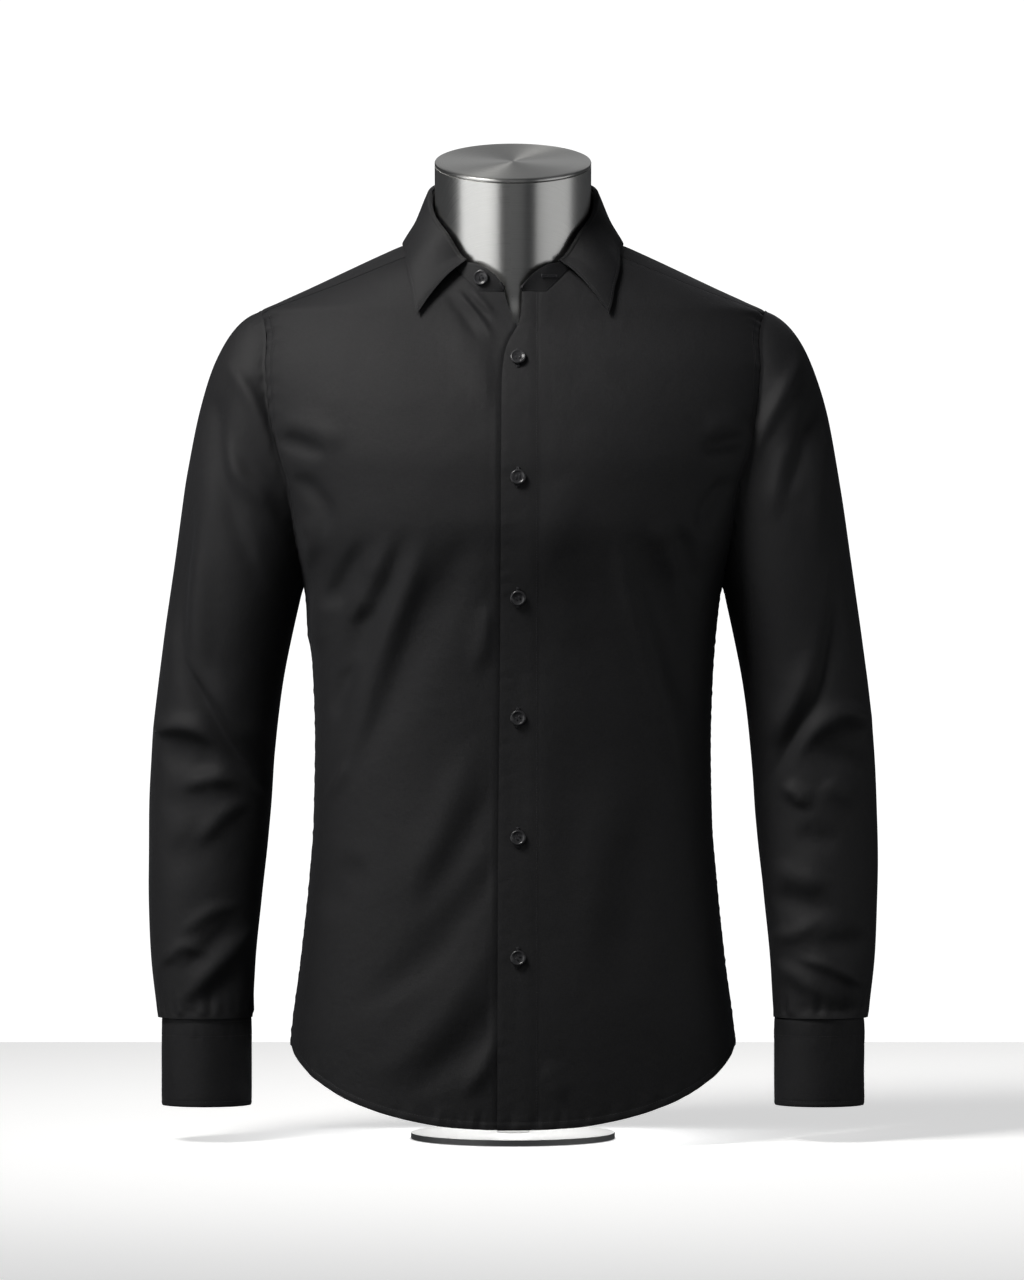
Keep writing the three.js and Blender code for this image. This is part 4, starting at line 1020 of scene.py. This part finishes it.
def collar_leaf():
    down = np.concatenate([np.linspace(0, ROLL_SHARE, 9)[:-1], mix(ROLL_SHARE, 1, graded(34, 0.6))])
    share, v = np.meshgrid(graded(210, 0.5), down)
    middle = leaf_points(share, v)
    normals = grid_normals(middle) * -1
    near, far, _, high = edge_distances(middle)
    edge = np.minimum(np.minimum(near, far), high)
    relief = -0.45 * np.exp(-((edge / 0.9) ** 2)) - 0.28 * np.exp(-(((edge - 2.6) / 0.8) ** 2))
    relief += ripples(share * 500, v * 60, SEED + 61, 0.35, 70)
    outer = middle + normals * (COLLAR_CLOTH / 2 + relief)[..., None]
    piece, normals = cloth_wall("collar_leaf_cloth", outer, COLLAR_CLOTH, sign=-1)
    add_cloth(piece, outer, "collar_leaf")
    COLLAR_STITCHES.row(*column_line(outer, normals, high, 2.6))
    falling = slice(12, -1)
    for distance in (near, far):
        COLLAR_STITCHES.row(*row_line(outer, normals, distance, 2.6, falling))


# ---- sleeves and cuffs ----

SLEEVE_RINGS = np.array([
    (178, 450, 281, 481, 60, 2), (191, 388, 292, 404, 55, 4), (199, 325, 299.5, 338, 51, 4),
    (203.5, 262, 302.5, 270, 48, 0), (209.5, 205, 302.5, 208, 45, -6), (214.5, 152, 300, 153, 41, -13),
    (217, CUFF_TOP + 0.4, 294, CUFF_TOP + 0.4, 36, CUFF_Y),
])
SLEEVE_LENGTHS = len(SLEEVE_RINGS)
SLEEVE_TUCK = 1.5


def sleeve_ring(index, turn):
    inner_x, inner_z, outer_x, outer_z, half_depth, y = np.moveaxis(SLEEVE_RINGS[index], -1, 0)
    across = (1 + np.cos(turn)) / 2
    return stack(mix(inner_x, outer_x, across), y - half_depth * np.sin(turn), mix(inner_z, outer_z, across))


def plain_sleeve(turn, place):
    """The left sleeve with no folds. Place 0 is the armhole, 1 the upper arm and the last the wrist."""
    start, end = armhole(turn, 1), sleeve_ring(np.zeros(turn.shape, int), turn)
    span = np.linalg.norm(end - start, axis=-1, keepdims=True)
    fall = np.radians(mix(70, 15, (1 + np.cos(turn)) / 2))
    leave = unit(stack(np.cos(fall), -0.3 * np.sin(turn), -np.sin(fall)))
    arrive = unit(sleeve_ring(np.ones(turn.shape, int), turn) - end) * 0.94 * span
    share = np.clip(place, 0, 1)[..., None]
    head = hermite(start - leave * SLEEVE_TUCK, leave * 0.71 * span, end, arrive, share)
    index = np.clip(np.floor(place).astype(int) - 1, 0, SLEEVE_LENGTHS - 2)

    def ring(k):
        return sleeve_ring(np.clip(k, 0, SLEEVE_LENGTHS - 1), turn)

    def slope(k):
        share = np.where((k > 0) & (k < SLEEVE_LENGTHS - 1), 0.5, 1)
        return (ring(k + 1) - ring(k - 1)) * share[..., None]

    t = np.clip(place - 1 - index, 0, 1)[..., None]
    arm = hermite(ring(index), slope(index), ring(index + 1), slope(index + 1), t)
    return np.where((place <= 1)[..., None], head, arm)


SLEEVE_PLACES = np.concatenate([
    graded(68, 0.6),
    mix(1, SLEEVE_LENGTHS, np.linspace(0, 1, 180))[1:],
])
SLEEVE_TURNS = np.linspace(math.pi, -math.pi, 129)


def sleeve_points(folds, seed):
    turn, place = np.meshgrid(SLEEVE_TURNS, SLEEVE_PLACES)
    base = plain_sleeve(turn, place)
    normal = grid_normals(base, ring=True)
    x, z = base[..., 0], base[..., 2]
    facing = smoothstep(np.abs(np.sin(turn)), 0, 0.45)
    height = np.where(np.sin(turn) > 0, fold_height(folds, x, z), fold_height(SLEEVE_BACK_FOLDS, x, z))
    height = height * facing
    rng = np.random.default_rng(seed)
    round_arm, down = run_lengths(base, 1), run_lengths(base, 0)
    wrist = down[-1:] - down
    height += ripples(round_arm, z * 1.3, seed, 1.0, 90)
    height += seam_relief(down, round_arm, rng, depth=0.9, pucker=0.5)
    wave = sum(np.sin(turn * k + rng.uniform(0, 6.3)) for k in (9, 13, 17, 23))
    height += 0.5 * wave * np.exp(-((wrist / 16) ** 2)) * smoothstep(wrist, 0, 5)
    height *= smoothstep(wrist, -0.5, 7) * 0.9 + 0.1
    return base + normal * height[..., None], turn


def mirrored(points, side):
    return points * (side, 1, 1)


def sleeve(name, side, folds, seed):
    points, turn = sleeve_points(folds, seed)
    outer = mirrored(points, side)
    piece, normals = cloth_wall(f"sleeve_{name}_cloth", outer, CLOTH, sign=side, ring=True)
    add_cloth(piece, outer, f"sleeve_{name}")
    columns = (turn[0] > -2.6) & (turn[0] < -1.75)
    rows = SLEEVE_PLACES > SLEEVE_LENGTHS - 1.95
    strip = outer[rows][:, columns] + normals[rows][:, columns] * (SEAM_LAP + CLOTH)
    strip_piece, strip_normals = cloth_wall(f"sleeve_placket_{name}_cloth", strip, CLOTH * 0.9, sign=side)
    add_cloth(strip_piece, strip, f"sleeve_placket_{name}")
    near, far = edge_distances(strip)[:2]
    for distance in (near, far):
        SLEEVE_STITCHES.row(*row_line(strip, strip_normals, distance, 2))


CUFF_LAP = 0.4
CUFF_START = math.radians(-75)


def cuff(name, side):
    rng = np.random.default_rng(SEED + 8 + side)
    turn, z = np.meshgrid(
        CUFF_START + graded(130, 0.55) * (2 * math.pi + CUFF_LAP),
        mix(CUFF_BOTTOM, CUFF_TOP, graded(44, 0.55)),
    )
    share = smoothstep(turn - CUFF_START, CUFF_LAP, CUFF_LAP + 0.9)
    depth = (1 - share) * (COLLAR_CLOTH + 0.3)
    half_width, half_depth = CUFF_HALF_WIDTH - depth, CUFF_HALF_DEPTH - depth
    corner = smoothstep(CUFF_START + 2 * math.pi + CUFF_LAP - turn, 0, 0.3)
    rounded = 9 * (1 - np.sqrt(np.clip(1 - (1 - corner) ** 2, 0, 1)))
    z = np.maximum(z, CUFF_BOTTOM + rounded * (z < CUFF_BOTTOM + 20))
    base = stack(CUFF_X + half_width * np.cos(turn), CUFF_Y - half_depth * np.sin(turn), z)
    normal = unit(stack(np.cos(turn) / half_width, -np.sin(turn) / half_depth, 0))
    near, far, low, high = edge_distances(base)
    edge = np.minimum(np.minimum(low, high), np.minimum(near, far))
    relief = -0.5 * np.exp(-((edge / 1.0) ** 2)) - 0.25 * np.exp(-(((low - CUFF_EDGE_STITCH) / 0.8) ** 2))
    for distance in CUFF_STITCHES:
        relief -= 0.25 * np.exp(-(((high - distance) / 0.8) ** 2))
    wave = sum(np.sin(turn * k + rng.uniform(0, 6.3)) for k in (19, 27, 37))
    relief += 0.2 * wave * np.exp(-(((high - CUFF_STITCHES[1]) / 6) ** 2))
    relief += ripples(turn * 37, z, SEED + 80 + side, 0.7, 46) * smoothstep(edge, 0, 6)
    outer = mirrored(base + normal * relief[..., None], side)
    piece, normals = cloth_wall(f"cuff_{name}_cloth", outer, COLLAR_CLOTH, sign=-side)
    add_cloth(piece, outer, f"cuff_{name}")
    SLEEVE_STITCHES.row(*column_line(outer, normals, low, CUFF_EDGE_STITCH))
    for distance in CUFF_STITCHES:
        SLEEVE_STITCHES.row(*column_line(outer, normals, high, distance))


# ---- buttons and buttonholes ----

BUTTON_THICKNESS = 2.4


def lathe_mesh(name, outline, segments=72, matrix=None, sharp=40):
    """A turned form about the z axis, from an outline of (radius, height) pairs."""
    outline = np.array(outline, float)
    angles = np.linspace(0, 2 * math.pi, segments + 1)[:-1]
    run = np.concatenate([[0], np.cumsum(np.linalg.norm(np.diff(outline, axis=0), axis=1))])
    radius = np.maximum(outline[:, 0], 0.02)
    points = stack(
        radius[:, None] * np.cos(angles), radius[:, None] * np.sin(angles), outline[:, 1][:, None]
    ).reshape(-1, 3)
    uv = stack(angles * 60, run[:, None], 0)[..., :2].reshape(-1, 2)
    count = len(outline)
    faces = []
    for row in range(count - 1):
        for k in range(segments):
            n = (k + 1) % segments
            here, above = row * segments, (row + 1) * segments
            faces.append((here + k, here + n, above + n, above + k))
    faces.append(tuple(range(segments))[::-1])
    faces.append(tuple((count - 1) * segments + k for k in range(segments)))
    if matrix is not None:
        turn, move = np.array(matrix)[:3, :3], np.array(matrix)[:3, 3]
        points = points @ turn.T + move
    return new_mesh(name, points, faces, uv, sharp)


def button_mesh():
    """A four-hole button with a raised rim and a dished middle, its back on z = 0."""
    outline = [
        (0, 0), (3.5, 0), (5.4, 0.25), (6.1, 0.75), (6.35, 1.3), (6.3, 1.8), (6.0, 2.2), (5.5, 2.4),
        (5.0, 2.36), (4.6, 2.12), (4.2, 1.86), (3.7, 1.7), (2.0, 1.55), (0, 1.5),
    ]
    button = lathe_mesh("button_blank", outline, 64, sharp=None)
    cutters = []
    for k in range(4):
        angle = math.pi / 4 + k * math.pi / 2
        centre = Matrix.Translation((2.05 * math.cos(angle), 2.05 * math.sin(angle), -1))
        cutters.append(lathe_mesh(f"button_hole_{k}", [(0, 0), (0.75, 0), (0.75, 5), (0, 5)], 16, centre))
    for cutter in cutters:
        modifier = button.modifiers.new("hole", "BOOLEAN")
        modifier.operation, modifier.object, modifier.solver = "DIFFERENCE", cutter, "EXACT"
    bpy.context.view_layer.update()
    evaluated = button.evaluated_get(bpy.context.evaluated_depsgraph_get())
    mesh = bpy.data.meshes.new_from_object(evaluated)
    mesh.set_sharp_from_angle(angle=math.radians(35))
    for leftover in [button, *cutters]:
        bpy.data.objects.remove(leftover)
    return mesh


def tube(path, radius, sides=8):
    """The points and faces of a closed-ended tube along a path, wound about its own direction."""
    path = np.asarray(path, float)
    radius = np.broadcast_to(radius, len(path))
    ahead = unit(np.gradient(path, axis=0))
    up = np.array([0.0, 0.0, 1.0])
    side = unit(np.cross(ahead, up) + 1e-9)
    top = np.cross(side, ahead)
    angles = np.linspace(0, 2 * math.pi, sides + 1)[:-1]
    rings = path[:, None] + radius[:, None, None] * (
        side[:, None] * np.cos(angles)[None, :, None] + top[:, None] * np.sin(angles)[None, :, None]
    )
    faces = []
    for row in range(len(path) - 1):
        for k in range(sides):
            n = (k + 1) % sides
            faces.append((row * sides + k, row * sides + n, (row + 1) * sides + n, (row + 1) * sides + k))
    faces.append(tuple(range(sides))[::-1])
    faces.append(tuple((len(path) - 1) * sides + k for k in range(sides)))
    return rings.reshape(-1, 3), faces


def joined(parts):
    points, faces, count = [], [], 0
    for part_points, part_faces in parts:
        points.append(part_points)
        faces += [tuple(i + count for i in face) for face in part_faces]
        count += len(part_points)
    return np.concatenate(points), faces


def thread_parts():
    """Two bars of thread across a button's holes, and the shank of thread beneath."""
    parts = []
    t = np.linspace(0, 1, 9)
    for x in (-1.45, 1.45):
        for offset in (-0.24, 0.24):
            y = mix(-1.75, 1.75, t)
            z = 1.25 + 0.62 * np.sin(math.pi * t) ** 0.5
            parts.append(tube(stack(x + offset, y, z), 0.26))
    for x, y in ((1.45, 1.45), (-1.45, 1.45), (-1.45, -1.45), (1.45, -1.45)):
        parts.append(tube(stack(x, y, mix(-0.5, 1.5, t[:3])), 0.42))
    return parts


def buttonhole_parts(length=16, gap=0.55):
    """A slit worked round with close stitches, as a ribbed bead that lies on z = 0."""
    parts = []
    half = length / 2
    t = np.linspace(0, 1, 97)
    for side in (-1, 1):
        y = mix(-half, half, t)
        wound = 0.5 + 0.08 * np.sin(y * 2 * math.pi / 0.72)
        parts.append(tube(stack(side * gap * 1.25, y, 0.12), wound, 6))
    for end in (-1, 1):
        x = mix(-1.35, 1.35, t[::8])
        parts.append(tube(stack(x, end * half, 0.14), 0.62 - 0.1 * np.abs(x) / 1.35, 6))
    return parts


BUTTON_MESH = button_mesh()


def facing_matrix(point, outward, spin=0.0):
    """A matrix that stands a form's z axis along outward, with its y axis as near upright as it can be."""
    z = Vector(outward).normalized()
    x = Vector((0, 0, 1)).cross(z).normalized()
    y = z.cross(x)
    turn = Matrix((x, y, z)).transposed() @ Matrix.Rotation(spin, 3, "Z")
    return Matrix.Translation(Vector(point)) @ turn.to_4x4()


def placed(points, matrix):
    matrix = np.array(matrix)
    return points @ matrix[:3, :3].T + matrix[:3, 3]


THREADS, HOLES = [], []


def add_button(node, point, outward, spin=0.0, hole_spin=None):
    """A button over a CAD button, its thread, and the buttonhole that it comes through."""
    matrix = facing_matrix(point, outward, spin)
    mesh = BUTTON_MESH.copy()
    in_metres = Matrix.Scale(1 / MM, 4)
    mesh.transform(Matrix.Scale(MM, 4) @ matrix @ in_metres)
    button = bpy.data.objects.new(f"{node}_turned", mesh)
    bpy.context.scene.collection.objects.link(button)
    mesh.materials.clear()
    add_piece(button, BUTTON, [node])
    THREADS.extend((placed(p, matrix), f) for p, f in thread_parts())
    if hole_spin is not None:
        below = facing_matrix(np.array(point) - HOLE_DEPTH * np.array(outward), outward, hole_spin)
        HOLES.extend((placed(p, below), f) for p, f in buttonhole_parts())


def node_seat(node):
    """The middle of a CAD button's back, and the way that it faces, from its own mesh."""
    mesh = bpy.data.objects[node].data
    points = np.empty(len(mesh.vertices) * 3)
    mesh.vertices.foreach_get("co", points)
    points = points.reshape(-1, 3) / MM
    centre = points.mean(axis=0)
    _, _, axes = np.linalg.svd(points - centre, full_matrices=False)
    outward = axes[2] if axes[2] @ (centre - np.array([0, 0, centre[2]])) > 0 else -axes[2]
    if node.startswith("button_cuff"):
        arm = np.array([math.copysign(CUFF_X, centre[0]), CUFF_Y, centre[2]])
        outward = axes[2] if axes[2] @ (centre - arm) > 0 else -axes[2]
    return centre - outward * BUTTON_THICKNESS / 2, outward


def buttons():
    for i in range(6):
        node = f"button_front_{i + 1}"
        point, outward = node_seat(node)
        add_button(node, point, outward, spin=0.2 * i, hole_spin=0)
    for name in ("left", "right"):
        node = f"button_cuff_{name}"
        point, outward = node_seat(node)
        add_button(node, point, outward, hole_spin=math.pi / 2)
    point, outward = node_seat("button_collar")
    add_button("button_collar", point, outward, spin=0.4)
    add_piece(new_mesh("button_threads", *joined(THREADS), sharp=None), THREAD)
    add_piece(new_mesh("buttonholes", *joined(HOLES), sharp=None), THREAD)


# ---- dress form ----

NECK_TOP_Z = 812
CAP_THICKNESS = 3
FORM_INSET = 8


def neck():
    """The steel neck leans forward and flares where it meets the torso. A turned cap closes it."""
    lean = Matrix.Translation((0, 0, NECK_CENTRE_Z)) @ Matrix.Rotation(NECK_LEAN, 4, "X")
    top = (NECK_TOP_Z - NECK_CENTRE_Z) / math.cos(NECK_LEAN)
    angles = np.linspace(0, 2 * math.pi, 129)
    axis = np.array([0, -math.sin(NECK_LEAN), math.cos(NECK_LEAN)])
    across = np.array([0, math.cos(NECK_LEAN), math.sin(NECK_LEAN)])
    skin_z = 672
    rows = []
    foot = plain_body(angles, skin_z) - body_normal(angles, skin_z) * (FORM_INSET + 0.6)
    foot *= (0.86, 0.86, 1)
    ring = stack(np.sin(angles), 0, 0) - across * np.cos(angles)[:, None]
    collar_z = -14
    start = np.array([0, 0, NECK_CENTRE_Z]) + axis * collar_z + ring * NECK_RADIUS
    leave, arrive = (start - foot) * (1.5, 1.5, 0.4), axis * 46 + (start - foot) * 0.1
    for t in np.linspace(0, 1, 22):
        rows.append(hermite(foot, leave, start, arrive, t))
    end = top - CAP_THICKNESS - 0.4
    for t in np.linspace(0, 1, 20)[1:]:
        rows.append(np.array([0, 0, NECK_CENTRE_Z]) + axis * mix(collar_z, end, t) + ring * NECK_RADIUS)
    rows.append(rows[-1] - ring * 0.8 + axis * 0.3)
    rows.append(rows[-1] - ring * 12)
    outer = np.array(rows)
    outer[..., 0] = np.where(np.abs(outer[..., 0]) < 1e-9, 0, outer[..., 0])
    return outer, lean, top


def form():
    outer, lean, top = neck()
    piece = wall_mesh("form_neck_smooth", outer, outer - grid_normals(outer, ring=True) * 1.6, ring=True)
    add_piece(piece, STEEL_SIDE, ["form_neck"])
    low, r = top - CAP_THICKNESS, NECK_RADIUS
    outline = [
        (0, low), (r * 0.6, low), (r - 0.9, low), (r - 0.3, low + 0.3), (r, low + 0.9), (r, top - 1.1),
        (r - 0.4, top - 0.35), (r - 1.2, top),
    ] + [(x, top) for x in np.linspace(r - 6, 0.3, 14)]
    cap = lathe_mesh("form_cap_smooth", outline, 160, lean, sharp=35)
    add_piece(cap, STEEL_CAP, ["form_cap"])
    for node, material in (("form_torso", FORM_SHELL), ("form_pole", LACQUER), ("form_base", LACQUER)):
        for slot in bpy.data.objects[node].material_slots:
            slot.material = material


# ---- the whole shirt ----

front_outer, front_normals = front_left()
front_right()
placket(front_outer, front_normals)
back()
yoke()
collar_stand()
collar_leaf()
sleeve("left", 1, LEFT_SLEEVE_FOLDS, SEED + 20)
sleeve("right", -1, RIGHT_SLEEVE_FOLDS, SEED + 21)
cuff("left", 1)
cuff("right", -1)
BODY_STITCHES.finish("stitches_body", THREAD)
SLEEVE_STITCHES.finish("stitches_sleeves", THREAD)
COLLAR_STITCHES.finish("stitches_collar", THREAD)
buttons()
form()

# ---- studio ----


def card(name, size, position, target, strength=None, colour=(1, 1, 1)):
    """An upright flat board, or a soft light where it has a strength."""
    place, aim = Vector(position), Vector(target)
    turn = (aim - place).to_track_quat("-Z", "Y")
    if strength is None:
        x, y = size[0] / 2, size[1] / 2
        mesh = bpy.data.meshes.new(name)
        mesh.from_pydata([(-x, -y, 0), (x, -y, 0), (x, y, 0), (-x, y, 0)], [], [(0, 1, 2, 3)])
        item = bpy.data.objects.new(name, mesh)
        material = grained_material(f"{name}_paper", colour, 0.9, grain=0.002, scale=40)
        mesh.materials.append(material)
    else:
        light = bpy.data.lights.new(name, "AREA")
        light.shape, light.size, light.size_y = "RECTANGLE", size[0], size[1]
        light.energy, light.color = strength, colour
        item = bpy.data.objects.new(name, light)
    item.location, item.rotation_mode, item.rotation_quaternion = place, "QUATERNION", turn
    bpy.context.scene.collection.objects.link(item)
    return item


def studio():
    """White to look at, but dim to stand in, with a large soft key from the front left."""
    world = bpy.data.worlds.new("studio")
    world.use_nodes = True
    tree = world.node_tree
    seen, dim = (tree.nodes.new("ShaderNodeBackground") for _ in range(2))
    seen.inputs[0].default_value, seen.inputs[1].default_value = (1, 1, 1, 1), 1.1
    dim.inputs[0].default_value, dim.inputs[1].default_value = (0.94, 0.96, 1.0, 1), 0.05
    chosen = tree.nodes.new("ShaderNodeMixShader")
    tree.links.new(tree.nodes.new("ShaderNodeLightPath").outputs["Is Camera Ray"], chosen.inputs[0])
    tree.links.new(dim.outputs[0], chosen.inputs[1])
    tree.links.new(seen.outputs[0], chosen.inputs[2])
    output = next(n for n in tree.nodes if n.type == "OUTPUT_WORLD")
    tree.links.new(chosen.outputs[0], output.inputs["Surface"])
    bpy.context.scene.world = world
    floor = card("floor", (2.8, 2.35), (0, 0.025, -0.0005), (0, 0.025, -1), colour=(0.9, 0.9, 0.9))
    paper = next(n for n in floor.data.materials[0].node_tree.nodes if n.type == "BSDF_PRINCIPLED")
    paper.inputs["Emission Color"].default_value = (1, 1, 1, 1)
    paper.inputs["Emission Strength"].default_value = 0.6
    floor.visible_diffuse = floor.visible_glossy = False
    neck_height = (0, 0, 0.76)
    key = card("key", (0.8, 0.7), (-1.08, -0.92, 2.05), (-0.04, -0.05, 0.86), 9.0, (1, 0.985, 0.96))
    key.data.spread = math.radians(78)
    card("fill", (0.6, 1.2), (1.5, -0.9, 1.0), (0.1, 0, 0.6), 0.35, (0.93, 0.96, 1))
    under = card("base_light", (0.16, 0.16), (0, 0, 0.1), (0, 0, 0), 0.35)
    under.visible_camera = under.visible_glossy = False
    for name, size, place, power in (
        ("steel_left", (1.6, 0.9), (-1.07, -0.74, 0.36), 6.2),
        ("steel_right", (1.5, 0.9), (1.2, -0.5, 0.36), 2.8),
        ("steel_front", (0.8, 0.9), (0.12, -1.7, 0.45), 0.5),
        ("steel_above", (1.8, 0.9), (0.25, 1.5, 1.75), 1.5),
    ):
        board = card(name, size, place, neck_height, power)
        board.visible_diffuse = board.visible_camera = False
    bpy.context.scene.view_settings.view_transform = "Standard"


CAMERA_PLACE = (-0.0008, -5, 0.415)
CAMERA_LENS = 168.7


def camera():
    data = bpy.data.cameras.new("camera")
    data.lens, data.sensor_width, data.sensor_fit = CAMERA_LENS, 36, "AUTO"
    item = bpy.data.objects.new("camera", data)
    item.location = CAMERA_PLACE
    item.rotation_euler = (math.pi / 2, 0, 0)
    bpy.context.scene.collection.objects.link(item)
    bpy.context.scene.camera = item


studio()
camera()
